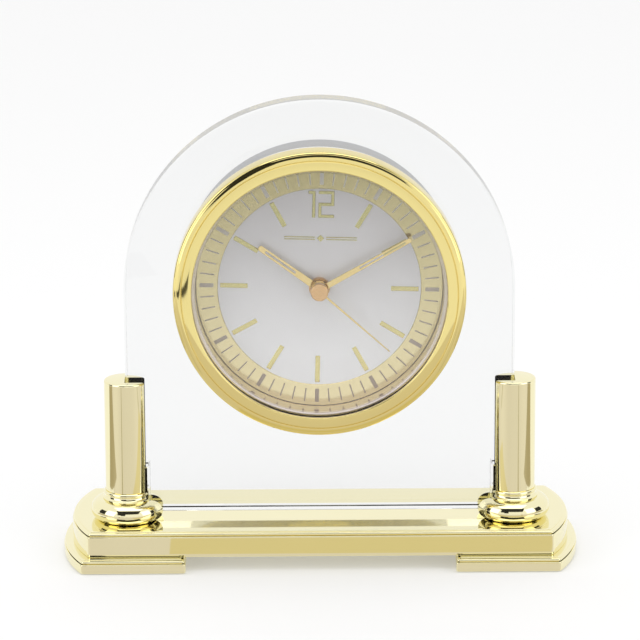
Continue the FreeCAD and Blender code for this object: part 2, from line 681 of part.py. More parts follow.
def wheel(gear, phase, level, axis=(0.0, CLOCK_Z)):
    """A thin wheel with its front face at level."""
    return toothed(gear, phase, level, level + WHEEL_THICKNESS, *axis)


def pinion(gear, phase, mate_level, axis=(0.0, CLOCK_Z)):
    """A pinion that overhangs its mating wheel on both faces."""
    return toothed(gear, phase, mate_level - PINION_OVERHANG,
                   mate_level + WHEEL_THICKNESS + PINION_OVERHANG, *axis)


def make_train():
    """Every wheel of the movement, keyed by node name, in mesh with its neighbours."""
    red_dir, third_dir, motion_dir = REDUCTION_DIRECTION, THIRD_DIRECTION, MOTION_DIRECTION
    rotor_phase = ROTOR_DIRECTION + 180.0
    reduction_phase = meshed(ROTOR_PINION, rotor_phase, ROTOR_DIRECTION + 180.0, REDUCTION_WHEEL)
    small_phase = red_dir + 180.0
    seconds_phase = meshed(REDUCTION_PINION, small_phase, red_dir + 180.0, SECONDS_WHEEL)
    third_phase = meshed(SECONDS_PINION, third_dir, third_dir, THIRD_WHEEL)
    centre_phase = meshed(THIRD_PINION, third_dir + 180.0, third_dir + 180.0, CENTRE_WHEEL)
    motion_phase = meshed(CANNON_PINION, motion_dir, motion_dir, MOTION_WHEEL)
    hour_phase = meshed(MOTION_PINION, motion_dir + 180.0, motion_dir + 180.0, HOUR_WHEEL)

    rotor = arbor(ARBOR_FRONT, ARBOR_BACK, ROTOR_AXIS).fuse([
        disc(MAGNET_FRONT, MAGNET_BACK, MAGNET_RADIUS, *ROTOR_AXIS),
        pinion(ROTOR_PINION, rotor_phase, REDUCTION_LEVEL, ROTOR_AXIS)])
    reduction = arbor(ARBOR_FRONT, ARBOR_BACK, REDUCTION_AXIS).fuse([
        wheel(REDUCTION_WHEEL, reduction_phase, REDUCTION_LEVEL, REDUCTION_AXIS),
        pinion(REDUCTION_PINION, small_phase, SECONDS_LEVEL, REDUCTION_AXIS)])
    seconds = disc(SECONDS_ARBOR_FRONT, ARBOR_BACK + 0.1, SECONDS_ARBOR).fuse([
        disc(ARBOR_BACK - 0.2, ARBOR_BACK + 0.7, PIVOT_RADIUS),
        wheel(SECONDS_WHEEL, seconds_phase, SECONDS_LEVEL),
        pinion(SECONDS_PINION, third_dir, THIRD_LEVEL)])
    third = arbor(THIRD_ARBOR_FRONT, ARBOR_BACK, THIRD_AXIS).fuse([
        wheel(THIRD_WHEEL, third_phase, THIRD_LEVEL, THIRD_AXIS),
        pinion(THIRD_PINION, third_dir + 180.0, CENTRE_LEVEL, THIRD_AXIS)])
    centre = disc(MINUTE_TUBE_FRONT, MINUTE_TUBE_BACK, MINUTE_TUBE).fuse([
        wheel(CENTRE_WHEEL, centre_phase, CENTRE_LEVEL),
        toothed(CANNON_PINION, motion_dir, MOTION_LEVEL - 0.1, MOTION_LEVEL + 1.0)])
    centre = centre.cut(disc(-20.0, 10.0, SECONDS_ARBOR + FIT))
    stem = disc(KNOB_STEM_FRONT, KNOB_BACK - KNOB_SKIN, KNOB_STEM, *MOTION_AXIS)
    motion = stem.fuse([
        disc(KNOB_STEM_FRONT - PIVOT_LENGTH, KNOB_STEM_FRONT + 0.1, PIVOT_RADIUS, *MOTION_AXIS),
        wheel(MOTION_WHEEL, motion_phase, MOTION_LEVEL, MOTION_AXIS),
        toothed(MOTION_PINION, motion_dir + 180.0, HOUR_LEVEL - 0.1, MOTION_LEVEL + 0.1, *MOTION_AXIS)])
    hour = disc(HOUR_TUBE_FRONT, HOUR_LEVEL + 0.1, HOUR_TUBE).fuse(wheel(HOUR_WHEEL, hour_phase, HOUR_LEVEL))
    hour = hour.cut(disc(-20.0, 10.0, MINUTE_TUBE + FIT))
    return {"rotor": rotor, "reduction_wheel": reduction, "seconds_wheel": seconds, "third_wheel": third,
            "centre_wheel": centre, "motion_wheel": motion, "hour_wheel": hour}


def make_setting_knob():
    """Fluted knob at the back of the movement, pressed on the motion wheel's stem."""
    knob = disc(KNOB_FRONT, KNOB_BACK, KNOB_RADIUS, *MOTION_AXIS)
    knob = knob.makeChamfer(0.4, [e for e in knob.Edges if abs(e.BoundBox.YMin - KNOB_BACK) < 1e-6])
    flutes = [disc(KNOB_FRONT - 1, KNOB_BACK + 1, 0.5, *polar(KNOB_RADIUS + 0.15, 18.0 * i, *MOTION_AXIS))
              for i in range(20)]
    return knob.cut(flutes + [disc(KNOB_FRONT - 1, KNOB_BACK - KNOB_SKIN, KNOB_STEM, *MOTION_AXIS)])


# ---- electrical parts ------------------------------------------------------------------------------------
def inside(x0, x1, y0, y1, z0, z1):
    """Box whose heights are measured from the clock's axis."""
    return block(x0, x1, y0, y1, CLOCK_Z + z0, CLOCK_Z + z1)


COIL_Z = 20.5
COIL_Y = 3.6
COIL_RADIUS = 2.5


def along_x(x0, x1, radius, y, z):
    """Cylinder along +X, at a height measured from the clock's axis."""
    return Part.makeCylinder(radius, x1 - x0, Vector(x0, y, CLOCK_Z + z), Vector(1, 0, 0))


def make_stator():
    """Soft-iron plate round the rotor, with two arms that reach the ends of the coil's core."""
    x, z = ROTOR_AXIS
    z -= CLOCK_Z
    plate = disc(STATOR_FRONT, STATOR_BACK, 5.0, *ROTOR_AXIS).fuse([
        inside(8.6, 11.2, STATOR_FRONT, STATOR_BACK, z, COIL_Z + 1.2),
        inside(x + 2.6, x + 5.0, STATOR_FRONT, STATOR_BACK, z, 26.0),
        inside(-9.6, x + 5.0, STATOR_FRONT, STATOR_BACK, 23.8, 26.0),
        inside(-9.6, -7.0, STATOR_FRONT, STATOR_BACK, COIL_Z - 1.2, 26.0)])
    notches = [inside(x - 0.35, x + 0.35, STATOR_FRONT - 1, STATOR_BACK + 1, z + a, z + b)
               for a, b in ((2.5, 3.9), (-3.9, -2.5))]
    return plate.cut([disc(STATOR_FRONT - 1, STATOR_BACK + 1, 2.95, *ROTOR_AXIS)] + notches).removeSplitter()


def make_coil_core():
    """Iron core of the coil, under the stator's two arms."""
    return inside(-9.6, 11.2, STATOR_FRONT - 1.0, STATOR_FRONT, COIL_Z - 1.2, COIL_Z + 1.2)


def make_coil_bobbin():
    """Plastic bobbin with two flanges, on the core."""
    reel = along_x(-6.2, 7.8, 1.75, COIL_Y, COIL_Z).fuse([
        along_x(-6.2, -5.6, COIL_RADIUS + 0.3, COIL_Y, COIL_Z),
        along_x(7.2, 7.8, COIL_RADIUS + 0.3, COIL_Y, COIL_Z)])
    return reel.cut(make_coil_core())


def make_coil_winding():
    """Enamelled copper winding between the bobbin's flanges."""
    return along_x(-5.6, 7.2, COIL_RADIUS, COIL_Y, COIL_Z).cut(along_x(-7.0, 9.0, 1.75, COIL_Y, COIL_Z))


def make_circuit_board():
    """Small board against the inside of the back case."""
    return inside(-25.5, -10.4, 5.7, CASE_BACK - CASE_WALL, 8.0, 21.8)


def make_crystal():
    """Tubular quartz crystal on the board."""
    can = along_x(-22.5, -16.5, 1.0, 4.7, 18.0)
    return can.makeFillet(0.3, [e for e in can.Edges if e.BoundBox.XLength < 1e-6])


def make_chip():
    """Drop of resin over the bare chip."""
    x, z = -16.0, CLOCK_Z + 12.0
    return turned_about_y([(0.0, 5.7), (0.0, 4.7), ((1.6, 5.0), (2.4, 5.7))], x, z)


def make_contacts():
    """Pressed contact plates for the cell: positive with a dimple, negative with a coiled spring."""
    plus = inside(BAY_HALF_LENGTH - 0.4, BAY_HALF_LENGTH, -4.0, 6.5, BATTERY_Z - 5.0, BATTERY_Z + 5.0)
    plus = plus.fuse(along_x(BAY_HALF_LENGTH - 1.2, BAY_HALF_LENGTH - 0.3, 2.0, BATTERY_Y, BATTERY_Z))
    minus = inside(-BAY_HALF_LENGTH, -BAY_HALF_LENGTH + 0.4, -4.0, 6.5, BATTERY_Z - 5.0, BATTERY_Z + 5.0)
    coils = []
    for turn, radius in enumerate((3.6, 2.6)):
        place = Vector(-BAY_HALF_LENGTH + 0.6 + 0.35 * turn, BATTERY_Y, CLOCK_Z + BATTERY_Z)
        coils.append(Part.makeTorus(radius, 0.3, place, Vector(1, 0, 0)))
    return plus, minus.fuse(coils)


def make_battery():
    """The cylindrical cell with its positive cap, lying across the bay."""
    half = BATTERY_LENGTH / 2
    body = along_x(-half, half - 1.0, BATTERY_RADIUS, BATTERY_Y, BATTERY_Z)
    body = body.makeFillet(0.5, [e for e in body.Edges if e.BoundBox.XLength < 1e-6])
    return body.fuse(along_x(half - 1.1, half, 2.75, BATTERY_Y, BATTERY_Z))


# ---- hands -----------------------------------------------------------------------------------------
def baton(front, length, width, slot, collar_back, bore):
    """A slotted baton hand at twelve with its collar; slot is where the opening starts and ends."""
    back = front + HAND_THICKNESS
    half = width / 2
    tip = section([(-half, 0.0), (half, 0.0), (half * 0.8, length - half),
                   ((0.0, length), (-half * 0.8, length - half))])
    blade = Part.Face(tip).extrude(Vector(0, 0, HAND_THICKNESS))
    blade.rotate(Vector(), Vector(1, 0, 0), 90)
    blade.translate(Vector(0, back, CLOCK_Z))
    opening = block(-width * 0.15, width * 0.15, front - 1, back + 1, CLOCK_Z + slot[0], CLOCK_Z + slot[1])
    collar = disc(front, collar_back, COLLAR_RADIUS)
    return blade.fuse(collar).cut([opening, disc(front - 1, collar_back + 1, bore)])


def make_hour_hand():
    """Hour hand, pressed on the hour tube."""
    hand = baton(HOUR_FRONT, HOUR_LENGTH, HOUR_WIDTH, (9.5, 21.5), -9.95 - 0.3, HOUR_TUBE)
    return clockwise(hand, HOUR_ANGLE)


def make_minute_hand():
    """Minute hand, pressed on the minute tube."""
    hand = baton(MINUTE_FRONT, MINUTE_LENGTH, MINUTE_WIDTH, (15.0, 32.0), HOUR_FRONT - HAND_GAP, MINUTE_TUBE)
    return clockwise(hand, MINUTE_ANGLE)


def make_second_hand():
    """Slender second hand, pressed on the seconds arbor."""
    back = SECOND_FRONT + 0.3
    half = SECOND_WIDTH / 2
    outline = section([(-half, 0.0), (half, 0.0), (half * 0.5, SECOND_LENGTH), (-half * 0.5, SECOND_LENGTH)])
    blade = Part.Face(outline).extrude(Vector(0, 0, 0.3))
    blade.rotate(Vector(), Vector(1, 0, 0), 90)
    blade.translate(Vector(0, back, CLOCK_Z))
    hand = blade.fuse(disc(SECOND_FRONT, MINUTE_FRONT - HAND_GAP, COLLAR_RADIUS - 0.1))
    return clockwise(hand.cut(disc(-20.0, 0.0, SECONDS_ARBOR)), SECOND_ANGLE)


def make_hub_cap():
    """Cap over the end of the seconds arbor."""
    cap = disc(CAP_FRONT, SECOND_FRONT, CAP_RADIUS)
    cap = cap.makeFillet(0.35, [e for e in cap.Edges if abs(e.BoundBox.YMax - CAP_FRONT) < 1e-6])
    return cap.cut(disc(-14.65, 0.0, SECONDS_ARBOR))


def make_ring_nut():
    """Slotted round nut that clamps the movement to the dial plate."""
    nut = tube(-9.9, DIAL_FRONT, NUT_RADIUS, BUSH)
    return nut.cut(block(-NUT_RADIUS - 1, NUT_RADIUS + 1, -10.5, -9.3, CLOCK_Z - 0.5, CLOCK_Z + 0.5))


# ---- the whole clock ---------------------------------------------------------------------------------
def main():
    """Build every node and write it to parts/."""
    os.makedirs("parts", exist_ok=True)
    save("base_block", make_base())
    for side, name in ((-1, "left"), (1, "right")):
        save(f"foot_{name}", make_foot(side))
        save(f"pillar_{name}", make_pillar(side))
        save(f"neck_ring_{name}", make_neck_ring(side))
        save(f"bun_{name}", make_bun(side))
    save("foot_screws", *make_foot_screws())
    save("foot_pads", *make_foot_pads())
    save("pillar_bolts", make_pillar_bolt(-1), make_pillar_bolt(1))
    save("glass_panel", make_glass())
    save("glass_rests", *make_glass_rests())

    save("bezel", make_bezel())
    save("bezel_gasket", tube(BEZEL_BACK, GLASS_FRONT, BEZEL_RADIUS - 0.5, GLASS_HOLE_RADIUS - 0.5))
    save("grip_band", tube(GLASS_FRONT + 0.5, GLASS_FRONT + 7.5, GLASS_HOLE_RADIUS - 0.02, CAN_RADIUS))
    save("front_lens", disc(LENS_FRONT, LENS_FRONT + LENS_THICKNESS, LENS_RADIUS))
    save("inner_wall_ring", tube(LENS_FRONT + LENS_THICKNESS, DIAL_FRONT, LENS_RADIUS, WALL_RING_INNER))
    save("dial_plate", tube(DIAL_FRONT, DIAL_FRONT + DIAL_THICKNESS, LENS_RADIUS, BUSH + 0.1))
    save("chapter_ring", tube(DIAL_FRONT - CHAPTER_THICKNESS, DIAL_FRONT, CHAPTER_OUTER, CHAPTER_INNER))
    save("minute_ticks", *make_minute_ticks())
    save("hour_markers", *make_hour_markers())
    save("numeral_twelve", *make_numeral())
    save("dial_ornament", *make_dial_ornament())
    save("rear_can", make_rear_can())
    save("standoff_posts", *make_standoffs())
    save("can_screws", *make_can_screws())

    save("movement_front_case", make_front_case())
    save("movement_back_case", make_back_case())
    save("middle_plate", make_middle_plate())
    save("movement_washer", tube(DIAL_FRONT + DIAL_THICKNESS, CASE_FRONT, 7.0, BUSH + 0.1))
    save("ring_nut", make_ring_nut())
    save("stator", make_stator())
    save("coil_core", make_coil_core())
    save("coil_bobbin", make_coil_bobbin())
    save("coil_winding", make_coil_winding())
    save("circuit_board", make_circuit_board())
    save("quartz_crystal", make_crystal())
    save("chip_resin", make_chip())
    plus, minus = make_contacts()
    save("battery_contact_plus", plus)
    save("battery_contact_minus", minus)
    save("battery", make_battery())

    for name, gear in make_train().items():
        save(name, gear)
    save("setting_knob", make_setting_knob())
    save("hour_hand", make_hour_hand())
    save("minute_hand", make_minute_hand())
    save("second_hand", make_second_hand())
    save("hub_cap", make_hub_cap())


main()
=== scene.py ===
"""Looks of the mantel clock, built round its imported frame.

Lengths are millimetres in the frame's own directions (+Z is up, the dial faces -Y), and become metres
only where a mesh is made. Every place is worked out from the boxes of the frame's nodes.
"""

import json
import logging
import math
from dataclasses import dataclass, field
from enum import Enum
from functools import cached_property

import bmesh
import bpy
import numpy as np
from mathutils import Matrix, Vector


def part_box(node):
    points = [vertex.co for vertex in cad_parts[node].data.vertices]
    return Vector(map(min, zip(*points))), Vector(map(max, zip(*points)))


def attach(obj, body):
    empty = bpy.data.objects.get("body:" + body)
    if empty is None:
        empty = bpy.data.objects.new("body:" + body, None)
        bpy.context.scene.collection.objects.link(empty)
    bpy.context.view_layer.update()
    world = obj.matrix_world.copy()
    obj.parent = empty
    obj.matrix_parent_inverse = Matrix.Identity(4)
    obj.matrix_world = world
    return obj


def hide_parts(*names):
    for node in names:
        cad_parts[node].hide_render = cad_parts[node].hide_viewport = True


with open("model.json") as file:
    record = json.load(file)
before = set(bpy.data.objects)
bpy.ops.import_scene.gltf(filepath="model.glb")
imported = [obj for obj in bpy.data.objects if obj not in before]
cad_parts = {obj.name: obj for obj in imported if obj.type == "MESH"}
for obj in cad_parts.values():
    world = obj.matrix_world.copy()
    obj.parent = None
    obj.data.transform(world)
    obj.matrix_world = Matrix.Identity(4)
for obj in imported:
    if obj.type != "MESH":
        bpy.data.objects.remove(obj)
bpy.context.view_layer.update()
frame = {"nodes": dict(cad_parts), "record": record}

MM = 0.001
LOG = logging.getLogger("mantel_clock")
Colour = tuple[float, float, float]
Place = tuple[float, float, float]
Point = tuple[float, float]
TURN = 2 * np.pi
DIAL_MIDDLE = (0.0, 0.0, 92.0)


class Side(Enum):
    """Which end of the clock a piece stands at."""

    LEFT = -1
    RIGHT = 1

    @property
    def word(self) -> str:
        """Ending of the node's name."""
        return self.name.lower()


class Axis(Enum):
    """Direction that a turned shape's height runs in."""

    ACROSS = (2, 0, 1)
    BACK = (0, 2, 1)
    UP = (0, 1, 2)


class Pattern(Enum):
    """Kind of fine relief on a finish."""

    GRAIN = "surface_grain"
    TURNED = "turned_lines"
    # colour graded by height: painted light and shade, lighter or darker towards the top
    GRADED = "graded_lines"
    FIBRE = "pressed_fibre"


# ---- places and outlines ---------------------------------------------------------------------------


@dataclass(frozen=True)
class Box:
    """Lowest and highest corner of a node, in millimetres."""

    low: np.ndarray
    high: np.ndarray

    @classmethod
    def of(cls, node: str) -> "Box":
        """Box of one frame node at rest."""
        low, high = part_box(node)
        return cls(np.array(low) / MM, np.array(high) / MM)

    @property
    def centre(self) -> np.ndarray:
        """Middle of the box."""
        return (self.low + self.high) / 2

    @property
    def half(self) -> np.ndarray:
        """Half of the box's size."""
        return (self.high - self.low) / 2

    @property
    def span(self) -> Place:
        """Front, back and radius of a node that is round about the dial's direction."""
        return self.low[1], self.high[1], self.half[0]


def arc(centre: Point, radius: float, start: float, stop: float, count: int = 7) -> np.ndarray:
    """Points of an arc: centre plus radius times (cos, sin) of evenly spaced angles, given in degrees."""
    angle = np.radians(np.linspace(start, stop, count))
    return np.stack([centre[0] + radius * np.cos(angle), centre[1] + radius * np.sin(angle)], axis=-1)


def route(*parts: object) -> np.ndarray:
    """Join single (a, b) points and arrays of points into one profile of shape (n, 2)."""
    return np.vstack([np.atleast_2d(np.asarray(part, dtype=float)) for part in parts])


def line(start: Point, stop: Point, count: int) -> np.ndarray:
    """Evenly spaced points on a straight line from start to stop, without its last point."""
    share = np.linspace(0, 1, count, endpoint=False)[:, None]
    return np.asarray(start) * (1 - share) + np.asarray(stop) * share


def inset_loop(loop: np.ndarray, distance: float) -> np.ndarray:
    """Move a closed counter-clockwise loop inwards by mitred corners.

    Each point moves along the sum of its two edges' inward normals, divided by one plus their dot product.

    Args:
        loop: Points of shape (n, 2).
        distance: How far every edge moves.

    Returns:
        The inner loop, with as many points.
    """
    edge = np.roll(loop, -1, axis=0) - loop
    edge /= np.maximum(np.linalg.norm(edge, axis=1, keepdims=True), 1e-9)
    after = np.stack([-edge[:, 1], edge[:, 0]], axis=-1)
    before = np.roll(after, 1, axis=0)
    mitre = (after + before) / (1 + np.sum(after * before, axis=1, keepdims=True))
    return loop + distance * mitre


def bent_bow(bow: float, crown: float, y: float, inset: float, count: int) -> np.ndarray:
    """Bowed end moved in by inset: an arc about the same centre, cut off at y minus inset.

    Args:
        bow: How far the end stands out past its corners before it is moved.
        crown: Where it is furthest out before it is moved.
        y: Half of its chord before it is moved.
        inset: How far it moves in.
        count: Number of points.

    Returns:
        Array of shape (count, 2).
    """
    radius = (y * y + bow * bow) / (2 * bow)
    reach = math.degrees(math.asin((y - inset) / (radius - inset)))
    return arc((crown - radius, 0.0), radius - inset, -reach, reach, count)


def arc_through(start: Point, via: Point, stop: Point, count: int = 9) -> np.ndarray:
    """Arc of the circle through three points, which is centred where their perpendicular bisectors cross.

    Args:
        start: First point.
        via: A point on the way.
        stop: Last point.
        count: Number of points.

    Returns:
        Array of shape (count, 2).
    """
    a, b, c = (np.asarray(point, dtype=float) for point in (start, via, stop))
    centre = np.linalg.solve(2 * np.stack([b - a, c - a]), [b @ b - a @ a, c @ c - a @ a])
    radius = float(np.linalg.norm(a - centre))
    first, middle, last = (math.degrees(math.atan2(*(point - centre)[::-1])) for point in (a, b, c))
    sweep = (last - first) % 360
    if (middle - first) % 360 > sweep:
        sweep -= 360
    return arc(tuple(centre), radius, first, first + sweep, count)


def softened(loop: np.ndarray, corners: tuple[int, ...], reach: float, count: int = 5) -> np.ndarray:
    """Round chosen corners of a loop with parabolas that start and end at reach from the corner.

    Args:
        loop: Points of shape (n, 2).
        corners: Indices of the corners to round.
        reach: Distance from a corner to the ends of its curve.
        count: Points in each curve.

    Returns:
        The loop with each corner replaced by count points.
    """
    share = np.linspace(0, 1, count)[:, None]
    parts = []
    for index, point in enumerate(loop):
        if index not in corners:
            parts.append(point[None])
            continue
        before, after = loop[index - 1] - point, loop[(index + 1) % len(loop)] - point
        start = point + before / np.linalg.norm(before) * reach
        stop = point + after / np.linalg.norm(after) * reach
        parts.append((1 - share) ** 2 * start + 2 * share * (1 - share) * point + share ** 2 * stop)
    return np.vstack(parts)


def lathe(profile: np.ndarray, centre: np.ndarray, axis: Axis = Axis.BACK, turns: int = 160) -> np.ndarray:
    """Loops of a turned shape: each profile point swept round the axis.

    Args:
        profile: (radius, height) points, with height along the axis.
        centre: Point that heights and radii are measured from.
        axis: Direction of the axis.
        turns: Points round the axis.

    Returns:
        Array of shape (points, turns, 3).
    """
    angle = np.linspace(0, TURN, turns, endpoint=False)
    radius, height = profile[:, 0:1], profile[:, 1:2]
    swept = np.stack([radius * np.cos(angle), radius * np.sin(angle), height + 0 * angle], axis=-1)
    return swept[..., axis_order(axis)] + np.asarray(centre)


def axis_order(axis: Axis) -> list[int]:
    """Which of (first, second, height) goes to X, Y and Z."""
    return list(axis.value)


def raised(loops: list[np.ndarray], heights: list[float]) -> np.ndarray:
    """Lay plan loops of one length at their heights: an array of shape (loops, n, 3)."""
    return np.stack([np.column_stack([loop, np.full(len(loop), z)]) for loop, z in zip(loops, heights)])


def facing(loops: list[np.ndarray], depths: list[float]) -> np.ndarray:
    """Stand (x, z) loops of one length at their depths along Y: an array of shape (loops, n, 3)."""
    return np.stack([np.column_stack([loop[:, 0], np.full(len(loop), y), loop[:, 1]])
                     for loop, y in zip(loops, depths)])


def clockwise(points: np.ndarray, degrees: float, centre: np.ndarray) -> np.ndarray:
    """Turn points about the dial's axis, clockwise as the dial is read.

    Args:
        points: Array of shape (..., 3).
        degrees: Angle of the turn.
        centre: A point on the axis.

    Returns:
        Array of the same shape.
    """
    angle = math.radians(degrees)
    x, z = points[..., 0] - centre[0], points[..., 2] - centre[2]
    turned = points.copy()
    turned[..., 0] = centre[0] + x * math.cos(angle) + z * math.sin(angle)
    turned[..., 2] = centre[2] - x * math.sin(angle) + z * math.cos(angle)
    return turned


def stood(name: str, data: bpy.types.ID) -> bpy.types.Object:
    """Put new data into the scene as an object of that name."""
    thing = bpy.data.objects.new(name, data)
    bpy.context.collection.objects.link(thing)
    return thing


class Shell:
    """Closed surfaces gathered as whole arrays until they become one piece."""

    def __init__(self) -> None:
        """Start with no points and no faces."""
        self.points: list[np.ndarray] = []
        self.faces: list[list[int]] = []
        self.count = 0

    def skin(self, loops: np.ndarray, ring: bool = False, low: bool = False, high: bool = False) -> "Shell":
        """Cover a stack of closed loops with quads.

        Args:
            loops: Array of shape (rows, columns, 3).
            ring: Whether the last row joins the first.
            low: Whether the first row is closed by a face.
            high: Whether the last row is closed by a face.

        Returns:
            This shell, for the next call.
        """
        rows, columns = loops.shape[:2]
        index = self.count + np.arange(rows * columns).reshape(rows, columns)
        here = index if ring else index[:-1]
        above = np.roll(index, -1, axis=0) if ring else index[1:]
        quads = np.stack([here, np.roll(here, -1, axis=1), np.roll(above, -1, axis=1), above], axis=-1)
        self.faces += quads.reshape(-1, 4).tolist()
        self.faces += [index[0][::-1].tolist()] if low else []
        self.faces += [index[-1].tolist()] if high else []
        self.points.append(loops.reshape(-1, 3))
        self.count += rows * columns
        return self

    def piece(self, name: str, body: str, slot: str, finish: bpy.types.Material,
              nodes: tuple[str, ...] = (), sharp: float = 32.0) -> bpy.types.Object:
        """Turn the gathered surfaces into a piece of the clock.

        Args:
            name: The piece's name.
            body: Body that it rides on.
            slot: The record's material slot; not used.
            finish: Its material.
            nodes: Frame nodes that it stands for.
            sharp: Edges that turn more than this many degrees stay crisp.

        Returns:
            The new object.
        """
        mesh = bpy.data.meshes.new(name)
        mesh.from_pydata((np.concatenate(self.points) * MM).tolist(), [], self.faces)
        work = bmesh.new()
        work.from_mesh(mesh)
        bmesh.ops.remove_doubles(work, verts=work.verts, dist=1e-6)
        bmesh.ops.dissolve_degenerate(work, dist=1e-7, edges=work.edges)
        bmesh.ops.recalc_face_normals(work, faces=work.faces)
        work.to_mesh(mesh)
        work.free()
        mesh.shade_smooth()
        mesh.set_sharp_from_angle(angle=math.radians(sharp))
        thing = stood(name, mesh)
        mesh.materials.append(finish)
        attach(thing, body)
        if nodes:
            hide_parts(*nodes)
        LOG.info("%s: %d faces on %s", name, len(mesh.polygons), body)
        return thing


# ---- shader groups and finishes --------------------------------------------------------------------


class Graph:
    """Adds and joins the nodes of one tree."""

    def __init__(self, tree: bpy.types.NodeTree) -> None:
        """Work on this tree."""
        self.tree = tree

    def add(self, kind: str, values: dict[str | int, object] | None = None,
            **settings: object) -> bpy.types.Node:
        """Add a node.

        Args:
            kind: Blender's name of the node, without its leading ShaderNode.
            values: Values of its input sockets.
            settings: Its own settings.

        Returns:
            The node.
        """
        node = self.tree.nodes.new(kind if kind.startswith("NodeGroup") else f"ShaderNode{kind}")
        for key, value in settings.items():
            setattr(node, key, value)
        for key, value in (values or {}).items():
            node.inputs[key].default_value = value
        return node

    def join(self, source: bpy.types.Node, out: str | int, target: bpy.types.Node, into: str | int) -> None:
        """Link one node's output to another's input."""
        self.tree.links.new(source.outputs[out], target.inputs[into])

    def blend(self, source: bpy.types.Node, out: str | int) -> bpy.types.Node:
        """Add a colour mix whose factor comes from a node's output; its colours are inputs 6 and 7."""
        mix = self.add("Mix", data_type="RGBA")
        self.join(source, out, mix, 0)
        return mix


